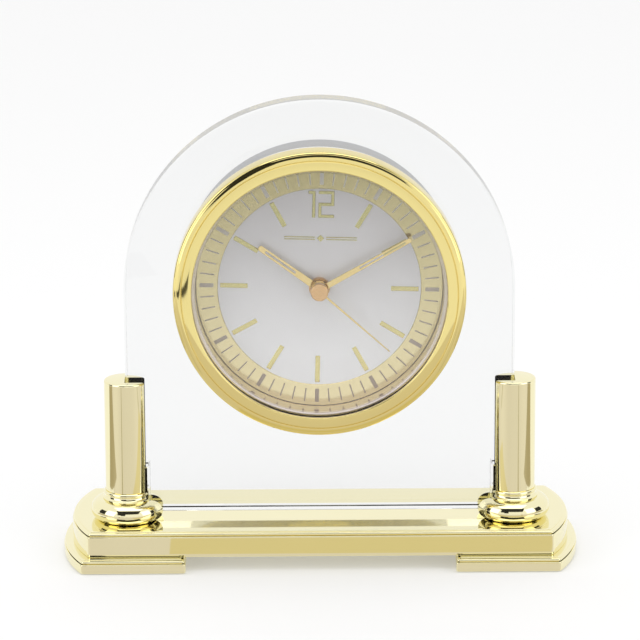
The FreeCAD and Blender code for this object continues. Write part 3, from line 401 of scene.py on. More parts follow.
class GroupShelf:
    """The shader groups that the finishes share, each built once."""

    # CLOUD_DEPTH, FOOT and TOP shape the painted light and shade of graded_lines: its blur, and the heights
    # where it starts and ends
    CLOUD_DEPTH, FOOT, TOP = 0.012, -0.032, 0.046  # metres: the gradient's blur, and where it starts and ends
    INPUTS = (("Colour", "NodeSocketColor"), ("Shade", "NodeSocketColor"), ("Scale", "NodeSocketFloat"),
              ("Roughness", "NodeSocketFloat"), ("Spread", "NodeSocketFloat"))
    OUTPUTS = (("Colour", "NodeSocketColor"), ("Roughness", "NodeSocketFloat"), ("Height", "NodeSocketFloat"))

    def __init__(self, centre: np.ndarray) -> None:
        """Keep the point, in metres, that turned lines run round."""
        self.centre = tuple(float(value) for value in centre)

    def start(self, name: str) -> tuple[bpy.types.NodeTree, Graph, bpy.types.Node, bpy.types.Node]:
        """Make an empty group with the usual sockets.

        Args:
            name: Name of the group.

        Returns:
            The tree, its graph, and its input and output nodes.
        """
        tree = bpy.data.node_groups.new(name, "ShaderNodeTree")
        for label, kind in self.INPUTS:
            tree.interface.new_socket(name=label, in_out="INPUT", socket_type=kind)
        for label, kind in self.OUTPUTS:
            tree.interface.new_socket(name=label, in_out="OUTPUT", socket_type=kind)
        graph = Graph(tree)
        return tree, graph, graph.add("NodeGroupInput"), graph.add("NodeGroupOutput")

    def finish_up(self, graph: Graph, given: bpy.types.Node, result: bpy.types.Node,
                  tone: bpy.types.Node, relief: bpy.types.Node) -> None:
        """Mix the two colours by tone, vary the roughness by relief, and put both out with the height.

        Args:
            graph: Graph of the group.
            given: Its input node.
            result: Its output node.
            tone: Texture whose first output varies the colour.
            relief: Texture whose first output varies roughness and height.
        """
        mix = graph.blend(tone, 0)
        graph.join(given, "Colour", mix, 6)
        graph.join(given, "Shade", mix, 7)
        graph.join(mix, 2, result, "Colour")
        centred = graph.add("Math", {1: 0.5}, operation="SUBTRACT")
        graph.join(relief, 0, centred, 0)
        scaled = graph.add("Math", operation="MULTIPLY_ADD")
        graph.join(centred, 0, scaled, 0)
        graph.join(given, "Spread", scaled, 1)
        graph.join(given, "Roughness", scaled, 2)
        graph.join(scaled, 0, result, "Roughness")
        graph.join(relief, 0, result, "Height")

    @cached_property
    def surface_grain(self) -> bpy.types.NodeTree:
        """Even grain: a broad noise for the colour and a fine one for the relief."""
        tree, graph, given, result = self.start("surface_grain")
        place = graph.add("TexCoord")
        tone = graph.add("TexNoise", {"Scale": 45.0, "Detail": 3.0, "Roughness": 0.55})
        relief = graph.add("TexNoise", {"Detail": 4.0, "Roughness": 0.6})
        graph.join(place, "Object", tone, "Vector")
        graph.join(place, "Object", relief, "Vector")
        graph.join(given, "Scale", relief, "Scale")
        self.finish_up(graph, given, result, tone, relief)
        return tree

    def rings(self, graph: Graph, given: bpy.types.Node) -> tuple[bpy.types.Node, ...]:
        """Noise along the distance from the dial's axis, and the two nodes that lead to it.

        Args:
            graph: Graph of the group.
            given: Its input node.

        Returns:
            The coordinates, the place seen from the dial's centre, and the noise.
        """
        place = graph.add("TexCoord")
        away = graph.add("VectorMath", {1: self.centre}, operation="SUBTRACT")
        graph.join(place, "Object", away, 0)
        flat = graph.add("VectorMath", {1: (1.0, 0.0, 1.0)}, operation="MULTIPLY")
        graph.join(away, 0, flat, 0)
        length = graph.add("VectorMath", operation="LENGTH")
        graph.join(flat, 0, length, 0)
        relief = graph.add("TexNoise", {"Detail": 2.0, "Roughness": 0.5}, noise_dimensions="1D")
        graph.join(length, "Value", relief, "W")
        graph.join(given, "Scale", relief, "Scale")
        return place, away, relief

    @cached_property
    def turned_lines(self) -> bpy.types.NodeTree:
        """Fine rings about the dial's axis, with a broad noise for the colour."""
        tree, graph, given, result = self.start("turned_lines")
        place, _, relief = self.rings(graph, given)
        tone = graph.add("TexNoise", {"Scale": 30.0, "Detail": 2.0})
        graph.join(place, "Object", tone, "Vector")
        self.finish_up(graph, given, result, tone, relief)
        return tree

    @cached_property
    def graded_lines(self) -> bpy.types.NodeTree:
        """Fine rings about the dial's axis, with painted light and shade: the colour goes from Colour at the
        foot to Shade at the top.
        """
        tree, graph, given, result = self.start("graded_lines")
        place, away, relief = self.rings(graph, given)
        parts = graph.add("SeparateXYZ")
        graph.join(away, 0, parts, 0)
        cloud = graph.add("TexNoise", {"Scale": 60.0, "Detail": 2.0})
        graph.join(place, "Object", cloud, "Vector")
        height = graph.add("Math", {1: self.CLOUD_DEPTH}, operation="MULTIPLY_ADD")
        graph.join(cloud, 0, height, 0)
        graph.join(parts, 2, height, 2)
        tone = graph.add("MapRange", {"From Min": self.FOOT, "From Max": self.TOP})
        graph.join(height, 0, tone, "Value")
        self.finish_up(graph, given, result, tone, relief)
        return tree

    @cached_property
    def pressed_fibre(self) -> bpy.types.NodeTree:
        """Matted fibres: a stretched cell pattern for the relief and noise for the colour."""
        tree, graph, given, result = self.start("pressed_fibre")
        place = graph.add("TexCoord")
        bend = graph.add("TexNoise", {"Scale": 900.0, "Detail": 2.0})
        graph.join(place, "Object", bend, "Vector")
        relief = graph.add("TexVoronoi", feature="DISTANCE_TO_EDGE")
        warp = graph.add("VectorMath", {1: (0.002, 0.002, 0.002)}, operation="MULTIPLY_ADD")
        graph.join(bend, "Color", warp, 0)
        graph.join(place, "Object", warp, 2)
        graph.join(warp, 0, relief, "Vector")
        graph.join(given, "Scale", relief, "Scale")
        self.finish_up(graph, given, result, bend, relief)
        return tree

    def pick(self, pattern: Pattern) -> bpy.types.NodeTree:
        """The group of a pattern."""
        return getattr(self, pattern.value)


def dressed(name: str, group: bpy.types.NodeTree, colours: tuple[Colour, Colour],
            grain: Place) -> tuple[bpy.types.Material, Graph, bpy.types.Node, bpy.types.Node]:
    """Make a material whose pattern's group feeds its colour and roughness.

    Args:
        name: Name of the material.
        group: The pattern's group.
        colours: Its two colours.
        grain: Its scale, roughness, and how far the roughness varies.

    Returns:
        The material, its graph, its shader and its group node.
    """
    thing = bpy.data.materials.new(name)
    thing.use_nodes = True
    graph = Graph(thing.node_tree)
    shader = thing.node_tree.nodes["Principled BSDF"]
    node = graph.add("Group", node_tree=group)
    colour, shade = ((*values, 1.0) for values in colours)
    for key, value in zip(("Colour", "Shade", "Scale", "Roughness", "Spread"), (colour, shade, *grain)):
        node.inputs[key].default_value = value
    graph.join(node, "Colour", shader, "Base Color")
    graph.join(node, "Roughness", shader, "Roughness")
    return thing, graph, shader, node


@dataclass(frozen=True)
class Finish:
    """One opaque finish; relief is the height of its grain in millimetres."""

    name: str
    colour: Colour
    shade: Colour
    metallic: float = 0.0
    roughness: float = 0.4
    spread: float = 0.1
    scale: float = 900.0
    relief: float = 0.01
    pattern: Pattern = Pattern.GRAIN
    coat: float = 0.0

    def material(self, shelf: GroupShelf) -> bpy.types.Material:
        """Build the material: the pattern's group feeds colour, roughness and bump.

        Args:
            shelf: Where the shared groups are.

        Returns:
            The new material.
        """
        thing, graph, shader, group = dressed(self.name, shelf.pick(self.pattern), (self.colour, self.shade),
                                              (self.scale, self.roughness, self.spread))
        bump = graph.add("Bump", {"Strength": 0.5, "Distance": self.relief * MM})
        graph.join(group, "Height", bump, "Height")
        graph.join(bump, "Normal", shader, "Normal")
        shader.inputs["Metallic"].default_value = self.metallic
        shader.inputs["Coat Weight"].default_value = self.coat
        shader.inputs["Coat Roughness"].default_value = 0.04
        return thing


@dataclass(frozen=True)
class Glass:
    """Clear glass with faint smears in its roughness."""

    name: str
    colour: Colour
    index: float = 1.5
    smear: float = 0.01
    smear_scale: float = 60.0

    def material(self, shelf: GroupShelf) -> bpy.types.Material:
        """Build the material: the grain group only varies a very low roughness.

        Args:
            shelf: Where the shared groups are.

        Returns:
            The new material.
        """
        thing, _, shader, _ = dressed(self.name, shelf.pick(Pattern.GRAIN), (self.colour, self.colour),
                                      (self.smear_scale, self.smear / 2, self.smear))
        shader.inputs["Transmission Weight"].default_value = 1.0
        shader.inputs["IOR"].default_value = self.index
        return thing


PALE_GOLD = (0.93, 0.87, 0.57)
DEEP_GOLD = (0.86, 0.73, 0.31)


class Palette:
    """Every finish of the clock, made once and named after the record's slots."""

    FINISHES = (
        Finish("polished_gold", PALE_GOLD, (0.90, 0.84, 0.53), 1.0, 0.055, 0.03, 700.0, 0.0006),
        Finish("bezel_gold", DEEP_GOLD, (0.83, 0.70, 0.28), 1.0, 0.05, 0.03, 2600.0, 0.0005, Pattern.TURNED),
        # dial: painted shade, darker grey-mauve towards the top
        Finish("dial_silver", (0.93, 0.93, 0.95), (0.47, 0.45, 0.46), 0.4, 0.42, 0.08, 9000.0, 0.002,
               Pattern.GRADED),
        # chapter ring: painted shade, dark olive towards the top
        Finish("chapter_gold", (0.82, 0.72, 0.45), (0.38, 0.33, 0.16), 1.0, 0.16, 0.05, 6000.0, 0.001,
               Pattern.GRADED),
        # inner wall: painted shade, dark tan towards the top
        Finish("wall_gold", (0.72, 0.64, 0.60), (0.36, 0.31, 0.16), 1.0, 0.18, 0.05, 5000.0, 0.001,
               Pattern.GRADED),
        Finish("marker_gold", (0.76, 0.60, 0.28), (0.72, 0.56, 0.25), 1.0, 0.14, 0.05, 1500.0, 0.001),
        # hour bars, figure twelve and ornament: painted shade, dark olive towards the top
        Finish("marker_pale", (0.74, 0.65, 0.33), (0.38, 0.36, 0.16), 1.0, 0.16, 0.05, 1500.0, 0.001,
               Pattern.GRADED),
        # minute ticks: printed, with painted light and shade, brownish at the foot and paler grey towards the
        # top
        Finish("tick_print", (0.42, 0.34, 0.28), (0.58, 0.56, 0.52), 0.0, 0.4, 0.1, 1500.0, 0.002,
               Pattern.GRADED),
        Finish("rose_gold", (0.70, 0.46, 0.24), (0.64, 0.41, 0.20), 1.0, 0.28, 0.08, 3000.0, 0.002),
        Finish("can_grey", (0.42, 0.42, 0.43), (0.38, 0.38, 0.39), 0.35, 0.38, 0.1, 4000.0, 0.003,
               Pattern.TURNED),
        Finish("white_plastic", (0.72, 0.71, 0.66), (0.66, 0.65, 0.60), 0.0, 0.5, 0.15, 2200.0, 0.01),
        Finish("black_plastic", (0.018, 0.018, 0.02), (0.03, 0.03, 0.032), 0.0, 0.5, 0.2, 2500.0, 0.015),
        Finish("gear_plastic", (0.62, 0.58, 0.46), (0.56, 0.52, 0.41), 0.0, 0.42, 0.12, 2500.0, 0.006),
        Finish("steel", (0.55, 0.55, 0.56), (0.45, 0.45, 0.46), 1.0, 0.3, 0.12, 1800.0, 0.003),
        Finish("copper_wire", (0.55, 0.19, 0.07), (0.38, 0.12, 0.04), 0.8, 0.35, 0.15, 3500.0, 0.04),
        Finish("board_green", (0.02, 0.12, 0.05), (0.03, 0.17, 0.08), 0.0, 0.35, 0.15, 1600.0, 0.01),
        Finish("black_rubber", (0.02, 0.02, 0.02), (0.03, 0.03, 0.03), 0.0, 0.75, 0.15, 2600.0, 0.02),
        Finish("felt", (0.018, 0.018, 0.02), (0.05, 0.05, 0.055), 0.0, 0.95, 0.1, 1400.0, 0.12,
               Pattern.FIBRE),
        Finish("cell_wrap", (0.03, 0.035, 0.045), (0.04, 0.045, 0.06), 0.1, 0.28, 0.1, 900.0, 0.003,
               coat=0.3),
        Finish("clear_silicone", (0.72, 0.74, 0.75), (0.66, 0.68, 0.70), 0.0, 0.4, 0.15, 900.0, 0.01),
        Glass("clear_glass", (0.93, 0.935, 0.935), 1.36),
        Glass("lens_glass", (0.985, 0.99, 0.985), 1.45, 0.006),
    )

    def __init__(self, shelf: GroupShelf) -> None:
        """Build every material."""
        self.made = {finish.name: finish.material(shelf) for finish in self.FINISHES}

    def __getitem__(self, name: str) -> bpy.types.Material:
        """The material of a finish."""
        return self.made[name]


# ---- the stand -------------------------------------------------------------------------------------


@dataclass(frozen=True)
class MouldedBlock:
    """A block with bowed ends, whose edge has a fine groove under a rounded moulding."""

    box: Box
    bow: float
    both_ends: bool
    groove: float = 1.2
    band: float = 1.35
    corner: float = 0.9
    bow_points: int = 33
    side_points: int = 12

    def outline(self, inset: float) -> np.ndarray:
        """Plan of the block, moved in by inset, with slightly rounded corners.

        Args:
            inset: Distance in from the block's widest outline.

        Returns:
            Counter-clockwise loop, always with as many points.
        """
        half_x, full_y = self.box.half[0], self.box.half[1]
        half_y = full_y - inset
        right = bent_bow(self.bow, half_x, full_y, inset, self.bow_points)
        x = right[0, 0]
        left = -x if self.both_ends else inset - half_x
        front = line((left, -half_y), (x, -half_y), self.side_points)
        back = line((x, half_y), (left, half_y), self.side_points)
        end = -right if self.both_ends else np.array([(left, half_y), (left, -half_y)])
        loop = route(front[1:], right, back[1:], end)
        first, second = self.side_points - 1, 2 * self.side_points + self.bow_points - 2
        corners = (first, first + self.bow_points - 1, second, len(loop) - 1)
        return softened(loop, corners, max(self.corner - inset * 0.5, 0.15))

    def profile(self) -> np.ndarray:
        """Edge profile as (inset, z) points from the bottom face to the top face."""
        low, high = self.box.low[2], self.box.high[2]
        neck = high - self.band
        g = self.groove
        return route(
            (0.6, low), arc((0.35, low + 0.35), 0.35, -90, -180, 4),
            (0.0, low + 1.2), (0.0, neck - 0.6), arc((0.3, neck - 0.3), 0.3, 180, 90, 5),
            (g, neck + 0.02), (g, neck + 0.28),
            arc((0.5, high - 0.86), 0.2, 240, 180, 3),
            arc((0.8, high - 0.8), 0.5, 180, 90, 7),
            (1.4, high - 0.3), (1.5, high - 0.25), arc((1.65, high - 0.15), 0.15, 180, 90, 4), (2.6, high),
        )

    def shell(self) -> Shell:
        """Carry the profile round the plan outline and close both ends."""
        profile = self.profile()
        loops = [self.outline(inset) for inset in profile[:, 0]]
        stack = raised(loops, profile[:, 1].tolist())
        stack[..., 0] += self.box.centre[0]
        stack[..., 1] += self.box.centre[1]
        return Shell().skin(stack, low=True, high=True)


@dataclass(frozen=True)
class Notch:
    """The gap that the glass stands in: half its width, and how far from the pillar's axis it ends."""

    half: float
    end: float

    def ring(self, radius: float, count: int = 72) -> np.ndarray:
        """Circle with the notch taken out of its +X side.

        The arc runs between the angles where the circle meets the notch's sides or its end wall.

        Args:
            radius: The circle's radius.
            count: Points on the arc.

        Returns:
            Loop of count + 2 points.
        """
        meet = max(min(math.asin(min(self.half / radius, 1.0)), math.acos(min(self.end / radius, 1.0))), 0.0)
        wide = min(self.half, math.sqrt(max(radius ** 2 - self.end ** 2, 0.0)))
        swept = arc((0.0, 0.0), radius, math.degrees(meet), 360 - math.degrees(meet), count)
        return route(swept, (self.end, -wide), (self.end, wide))


@dataclass
class Pillar:
    """One pillar with its neck ring and bun, slotted for the glass."""

    side: Side
    palette: Palette
    edge: float = 0.6
    slot_floor: float = 14.8
    slot_end: float = -0.4
    bun_radii: Place = (10.0, 12.2, 9.0)
    arc_points: int = 72
    slot_points: int = 30
    notch: Notch = field(init=False)
    box: Box = field(init=False)

    def __post_init__(self) -> None:
        """Read the pillar's place, and the slot from the glass's thickness."""
        self.box = Box.of(f"pillar_{self.side.word}")
        self.glass = Box.of("glass_panel")
        self.radius = self.box.half[1]
        self.axis_x = self.box.centre[0] - self.side.value * (self.radius - self.box.half[0])
        self.notch = Notch(self.glass.half[1] + 0.1, self.radius - 0.7)

    def placed(self, stack: np.ndarray) -> np.ndarray:
        """Turn local loops so that the slot opens to the clock's middle, and stand them on the axis."""
        moved = stack.copy()
        moved[..., 0] = self.axis_x - self.side.value * stack[..., 0]
        moved[..., 1] = self.box.centre[1] + stack[..., 1]
        return moved

    def section(self, radius: float, deep: bool) -> np.ndarray:
        """Cross-section of the pillar: an outer arc, then the slot's wall or the flat below it.

        Args:
            radius: Outer radius at this height.
            deep: Whether the slot reaches past the axis here.

        Returns:
            Loop of arc_points + slot_points points.
        """
        half = self.notch.half
        meet = math.degrees(math.asin(half / radius))
        outer = arc((0.0, 0.0), radius, meet, 360 - meet, self.arc_points)
        mouth = radius * math.cos(math.radians(meet))
        third = self.slot_points // 3
        if deep:
            end = self.slot_end
            wall = route(line((mouth, -half), (end, -half), third),
                         line((end, -half), (end, half), self.slot_points - 2 * third),
                         line((end, half), (mouth, half), third))
        else:
            end = self.notch.end
            flat = math.degrees(math.acos(end / radius))
            reach = radius * math.sin(math.radians(flat))
            wall = route(arc((0.0, 0.0), radius, -meet, -flat, third),
                         line((end, -reach), (end, reach), self.slot_points - 2 * third),
                         arc((0.0, 0.0), radius, flat, meet, third))
        return route(outer, wall)

    def shaft(self) -> bpy.types.Object:
        """The slotted rod: solid below the slot's floor, C-shaped above it, its top edge rounded."""
        low, high = self.box.low[2], self.box.high[2]
        floor = self.glass.low[2] + self.slot_floor
        r, e = self.radius, self.edge
        rim = arc((r - e, high - e), e, 0, 90, 6)
        rows = [(r - 0.15, low, False), (r, low + 0.15, False), (r, floor, False), (r, floor, True),
                (r, (floor + high) / 2, True), (r, high - e - 0.12, True)]
        rows += [(radius, z, True) for radius, z in rim]
        stack = raised([self.section(radius, deep) for radius, _, deep in rows], [z for _, z, _ in rows])
        name = f"pillar_{self.side.word}"
        return Shell().skin(self.placed(stack), low=True, high=True).piece(
            f"{name}_shaft", "stand", "polished_gold", self.palette["polished_gold"], (name,))

    def turned(self, node: str, profile: np.ndarray) -> bpy.types.Object:
        """A notched turned ring that replaces a node, from (radius, z) points, bottom to top."""
        stack = raised([self.notch.ring(radius) for radius in profile[:, 0]], profile[:, 1].tolist())
        return Shell().skin(self.placed(stack), low=True, high=True).piece(
            f"{node}_turned", "stand", "polished_gold", self.palette["polished_gold"], (node,))

    def bun(self) -> bpy.types.Object:
        """The squashed bun: a wide flat seat, a full round side and a narrower top."""
        node = f"bun_{self.side.word}"
        box = Box.of(node)
        low, high = box.low[2], box.high[2]
        foot, middle, crown = self.bun_radii
        return self.turned(node, arc_through((foot, low), (middle, (low + high) / 2), (crown, high), 25))

    def neck(self) -> bpy.types.Object:
        """The neck ring: a low plinth, a cove, and a half-round bead under the pillar."""
        node = f"neck_ring_{self.side.word}"
        box = Box.of(node)
        low, high, r = box.low[2], box.high[2], box.half[1]
        profile = route(
            (r - 0.12, low), (r, low + 0.1), (r, low + 0.42), (r - 0.08, low + 0.5),
            arc_through((r - 0.12, low + 0.52), (r - 0.65, low + 1.0), (r - 0.8, low + 1.8)),
            (r - 0.52, low + 1.93),
            arc_through((r - 0.5, low + 1.97), (r - 0.3, low + 2.4), (r - 0.5, high - 0.15)),
            (r - 0.65, high))
        return self.turned(node, profile)

    def build(self) -> None:
        """Make the shaft, the neck ring and the bun."""
        self.shaft()
        self.neck()
        self.bun()


@dataclass
class Stand:
    """Base block and feet, with the pillars on them."""

    palette: Palette
    base_bow: float = 6.0
    foot_bow: float = 6.7

    def build(self) -> None:
        """Make the base and both feet, and the pillars on them."""
        gold = self.palette["polished_gold"]
        MouldedBlock(Box.of("base_block"), self.base_bow, True).shell().piece(
            "base_plinth", "stand", "polished_gold", gold, ("base_block",))
        for side in Side:
            node = f"foot_{side.word}"
            box = Box.of(node)
            shell = MouldedBlock(box, self.foot_bow, False).shell()
            if side is Side.LEFT:
                shell.points = [points * [-1.0, 1.0, 1.0] + [2 * box.centre[0], 0.0, 0.0]
                                for points in shell.points]
            shell.piece(f"{node}_block", "stand", "polished_gold", gold, (node,))
            Pillar(side, self.palette).build()


# ---- the glass -------------------------------------------------------------------------------------


@dataclass
class GlassPanel:
    """Arched panel with polished bevels and a round hole."""

    palette: Palette
    bevel: float = 0.6
    notch_height: float = 15.2
    notch_gap: float = 0.3
    columns: int = 180
    clearance: float = 0.012

    def __post_init__(self) -> None:
        """Read the panel's outline and hole from the frame."""
        self.box = Box.of("glass_panel")
        self.hole = Box.of("grip_band")
        self.radius = self.box.half[0]
        self.arch = self.box.high[2] - self.radius
        pillar = Box.of("pillar_right")
        self.notch_x = pillar.low[0] - self.notch_gap

    def outline(self, angle: np.ndarray) -> np.ndarray:
        """Where rays from the hole's centre leave the panel.

        Above the arch's centre a ray meets the circle of the arch; below it, it meets the nearest of the
        straight side, the notch's side and roof, and the bottom edge.

        Args:
            angle: Ray directions from +X towards +Z, in radians.

        Returns:
            Loop of (x, z) points.
        """
        centre_z = self.hole.centre[2]
        cos, sin = np.cos(angle), np.sin(angle)
        rise = self.arch - centre_z
        to_arch = rise * sin + np.sqrt(np.maximum(self.radius ** 2 - (rise * cos) ** 2, 0.0))
        to_side = self.radius / np.maximum(np.abs(cos), 1e-9)
        notch_roof = self.box.low[2] + self.notch_height
        down = np.maximum(-sin, 1e-9)
        to_roof = (centre_z - notch_roof) / down
        to_notch = self.notch_x / np.maximum(np.abs(cos), 1e-9)
        to_bottom = (centre_z - self.box.low[2]) / down
        below = np.maximum(np.minimum(to_side, to_roof), np.minimum(to_notch, to_bottom))
        reach = np.where(centre_z + to_arch * sin > self.arch, to_arch, below)
        return np.stack([reach * cos, centre_z + reach * sin], axis=-1)

    def angles(self) -> np.ndarray:
        """Evenly spread ray directions with the panel's corners added."""
        centre_z = self.hole.centre[2]
        roof = self.box.low[2] + self.notch_height
        corners = [(self.radius, roof), (self.notch_x, roof), (self.notch_x, self.box.low[2]),
                   (self.radius, self.arch)]
        exact = [math.atan2(z - centre_z, x) for x, z in corners]
        even = np.linspace(0, TURN, self.columns, endpoint=False)
        exact = np.mod(np.array(exact + [math.pi - value for value in exact]), TURN)
        clear = np.min(np.abs(even[:, None] - exact[None, :]), axis=1) > self.clearance
        return np.sort(np.concatenate([even[clear], exact]))

    def build(self) -> bpy.types.Object:
        """Carry a bevelled section round the outline and back through the hole."""
        angle = self.angles()
        outer = self.outline(angle)
        centre = (0.0, self.hole.centre[2])
        radius = self.hole.half[0] + 0.02
        hole = np.stack([centre[0] + radius * np.cos(angle), centre[1] + radius * np.sin(angle)], axis=-1)
        wide_hole = centre + (hole - centre) * (1 + self.bevel * 0.6 / radius)
        front, back, b = self.box.low[1], self.box.high[1], self.bevel
        inner = inset_loop(outer, b)
        stack = facing([inner, outer, outer, inner, wide_hole, hole, hole, wide_hole],
                       [front, front + b, back - b, back, back, back - b * 0.6, front + b * 0.6, front])
        panel = Shell().skin(stack, ring=True).piece(
            "glass_arch", "stand", "clear_glass", self.palette["clear_glass"], ("glass_panel",), sharp=15.0)
        panel.visible_shadow = False
        return panel


# ---- the clock insert ------------------------------------------------------------------------------


@dataclass
class Insert:
    """Bezel, lens, inner wall, dial and its raised marks, all about the clock's axis."""

    palette: Palette
    turn: float = 1.5
    skirt: float = 43.25
    lip: float = 41.4
    step: float = 44.75
    chapter_inner: float = 33.0
    lens_gap: float = 0.12
    marker_edge: float = 0.09
    marker_half: float = 0.75
    marker_span: Point = (23.3, 32.2)
    marker_ridge: float = 0.12
    stroke: float = 1.0
    dial_bore: float = 2.85
    lens_edge: float = 0.25

    def __post_init__(self) -> None:
        """Read the axis from the bezel's box."""
        self.bezel_box = Box.of("bezel")
        self.origin = np.array([self.bezel_box.centre[0], 0.0, self.bezel_box.centre[2]])

    def ring(self, name: str, node: str, profile: np.ndarray, slot: str, finish: str = "",
             turns: int = 240) -> bpy.types.Object:
        """Sweep a closed (radius, y) profile round the axis; finish is named if it isn't the slot's."""
        return Shell().skin(lathe(profile, self.origin, turns=turns), ring=True).piece(
            name, "stand", slot, self.palette[finish or slot], (node,), sharp=28.0)

    def bezel(self) -> None:
        """A deep round side, a falling band, a fine line, a flat band and the lip, with the skirt behind."""
        front, back = self.bezel_box.low[1], self.origin[1] + Box.of("bezel_gasket").low[1]
        r, skirt_back = self.bezel_box.half[0], self.bezel_box.high[1]
        lens_front = Box.of("front_lens").low[1]
        lip, band = self.lip, self.step
        self.ring("bezel_ring", "bezel", route(
            (self.skirt, skirt_back), (self.skirt, lens_front), (lip + 0.1, lens_front),
            (lip, lens_front - 0.2),
            arc_through((lip, front + 0.35), (lip + 0.1, front + 0.1), (lip + 0.35, front), 6),
            arc_through((lip + 0.45, front), (lip + 1.9, front + 0.03), (band - 0.2, front + 0.15), 9),
            (band - 0.14, front + 0.22), (band - 0.05, front + 0.45), (band + 0.05, front + 0.45),
            (band + 0.14, front + 0.27),
            arc_through((band + 0.2, front + 0.2), (band + 1.1, front + 0.3), (r - 0.8, front + 0.6), 11),
            arc_through((r - 0.75, front + 0.62), (r - 0.2, front + 0.9), (r, front + 1.4), 10),
            arc_through((r, back - 0.4), (r - 0.1, back - 0.1), (r - 0.4, back), 5),
            (self.skirt + 0.85, back), (self.skirt + 0.85, skirt_back)), "bezel_gold", turns=320)

    def lens(self) -> None:
        """Flat glass with a ground edge."""
        front, back, r = Box.of("front_lens").span
        e = self.lens_edge
        profile = route((0.0, front), line((6.0, front), (r - e, front), 6), (r - e, front), (r, front + e),
                        (r, back - e), (r - e, back), line((r - 6.0, back), (0.0, back), 6), (0.0, back))
        glass = Shell().skin(lathe(profile, self.origin, turns=200)).piece(
            "lens_disc", "stand", "lens_glass", self.palette["lens_glass"], ("front_lens",))
        glass.visible_shadow = False

    def wall(self) -> None:
        """Polished wall between lens and dial, with a fine bead at each end."""
        front, back, r = Box.of("inner_wall_ring").span
        front += self.lens_gap
        inner = Box.of("chapter_ring").half[0] + 0.1
        self.ring("inner_wall", "inner_wall_ring", route(
            (r, back), (r, front), (inner + 0.6, front),
            arc((inner + 0.35, front + 0.35), 0.35, -90, -180, 5),
            (inner + 0.02, front + 0.9), (inner + 0.22, front + 1.0), (inner + 0.22, front + 1.15),
            (inner + 0.02, front + 1.25), line((inner, front + 1.4), (inner, back - 0.4), 4),
            (inner, back - 0.3), (inner + 0.15, back - 0.1), (inner + 0.15, back)), "chapter_gold",
                  "wall_gold")

    def dial(self) -> None:
        """Flat dial plate with a rolled centre edge, and the raised chapter ring."""
        front, back, r = Box.of("dial_plate").span
        bore = self.dial_bore
        self.ring("dial_disc", "dial_plate", route(
            (bore, back), (r, back), (r, front), line((r - 2.0, front), (bore + 0.6, front), 14),
            (bore + 0.2, front), (bore, front + 0.2)), "dial_silver")
        front, back, r = Box.of("chapter_ring").span
        inner = self.chapter_inner
        self.ring("chapter_band", "chapter_ring", route(
            (inner, back), (r, back), (r, front + 0.12), (r - 0.12, front),
            line((r - 0.6, front), (inner + 0.3, front), 4),
            (inner + 0.12, front), (inner, front + 0.12)), "chapter_gold")

    def prism(self, corners: np.ndarray, low: float, high: float) -> np.ndarray:
        """Raised mark with bevelled front edges, standing at twelve.

        Args:
            corners: Counter-clockwise (x, z) loop from the axis.
            low: Y of its back.
            high: Y of its front.

        Returns:
            Loops from back to front.
        """
        edge = self.marker_edge
        loop = corners + [self.origin[0], self.origin[2]]
        inner = inset_loop(loop, edge)
        return facing([loop, loop, inner], [low, high + edge, high])

    def markers(self) -> None:
        """Eleven faceted bars and the two figures of twelve, in thin square strokes."""
        front, back, _ = Box.of("hour_markers").span
        (inner, outer), half = self.marker_span, self.marker_half
        bar = np.array([(-half, inner), (half, inner), (half, outer), (-half, outer)])
        shell = Shell()
        loop = bar + [self.origin[0], self.origin[2]]
        waist = inset_loop(loop, self.marker_ridge)
        crown = inset_loop(loop, half - 0.06)
        for hour in range(1, 12):
            stack = facing([loop, loop, waist, crown], [back, front + 0.1, front + 0.02, front])
            shell.skin(clockwise(stack, self.turn + 30.0 * hour, self.origin), low=True, high=True)
        shell.piece("hour_bars", "stand", "marker_gold", self.palette["marker_pale"], ("hour_markers",))
        s, middle = self.stroke, (inner + outer) / 2
        one = np.array([(-2.9, inner), (s - 2.9, inner), (s - 2.9, outer), (-4.2, outer), (-4.2, outer - s),
                        (-2.9, outer - s)])
        two = np.array([(-0.9, inner), (4.2, inner), (4.2, inner + s), (s - 0.9, inner + s),
                        (s - 0.9, middle - s / 2), (4.2, middle - s / 2), (4.2, outer), (-0.9, outer),
                        (-0.9, outer - s), (4.2 - s, outer - s), (4.2 - s, middle + s / 2),
                        (-0.9, middle + s / 2)])
        front, back, _ = Box.of("numeral_twelve").span
        shell = Shell()
        for figure in (one, two):
            stack = self.prism(figure, back, front)
            shell.skin(clockwise(stack, self.turn, self.origin), low=True, high=True)
        shell.piece("figure_twelve", "stand", "marker_gold", self.palette["marker_pale"], ("numeral_twelve",))

    def build(self) -> None:
        """Make every piece of the insert."""
        self.bezel()
        self.lens()
        self.wall()
        self.dial()
        self.markers()


# ---- hands -----------------------------------------------------------------------------------------


@dataclass(frozen=True)
class Baton:
    """A slotted hand: lengths from the axis, and the depth of its front face."""

    node: str
    body: str
    angle: float
    length: float
    width: float
    front: float
    thick: float
    slot: Point | None
    collar: float
    bore: float
    tip_share: float = 0.8


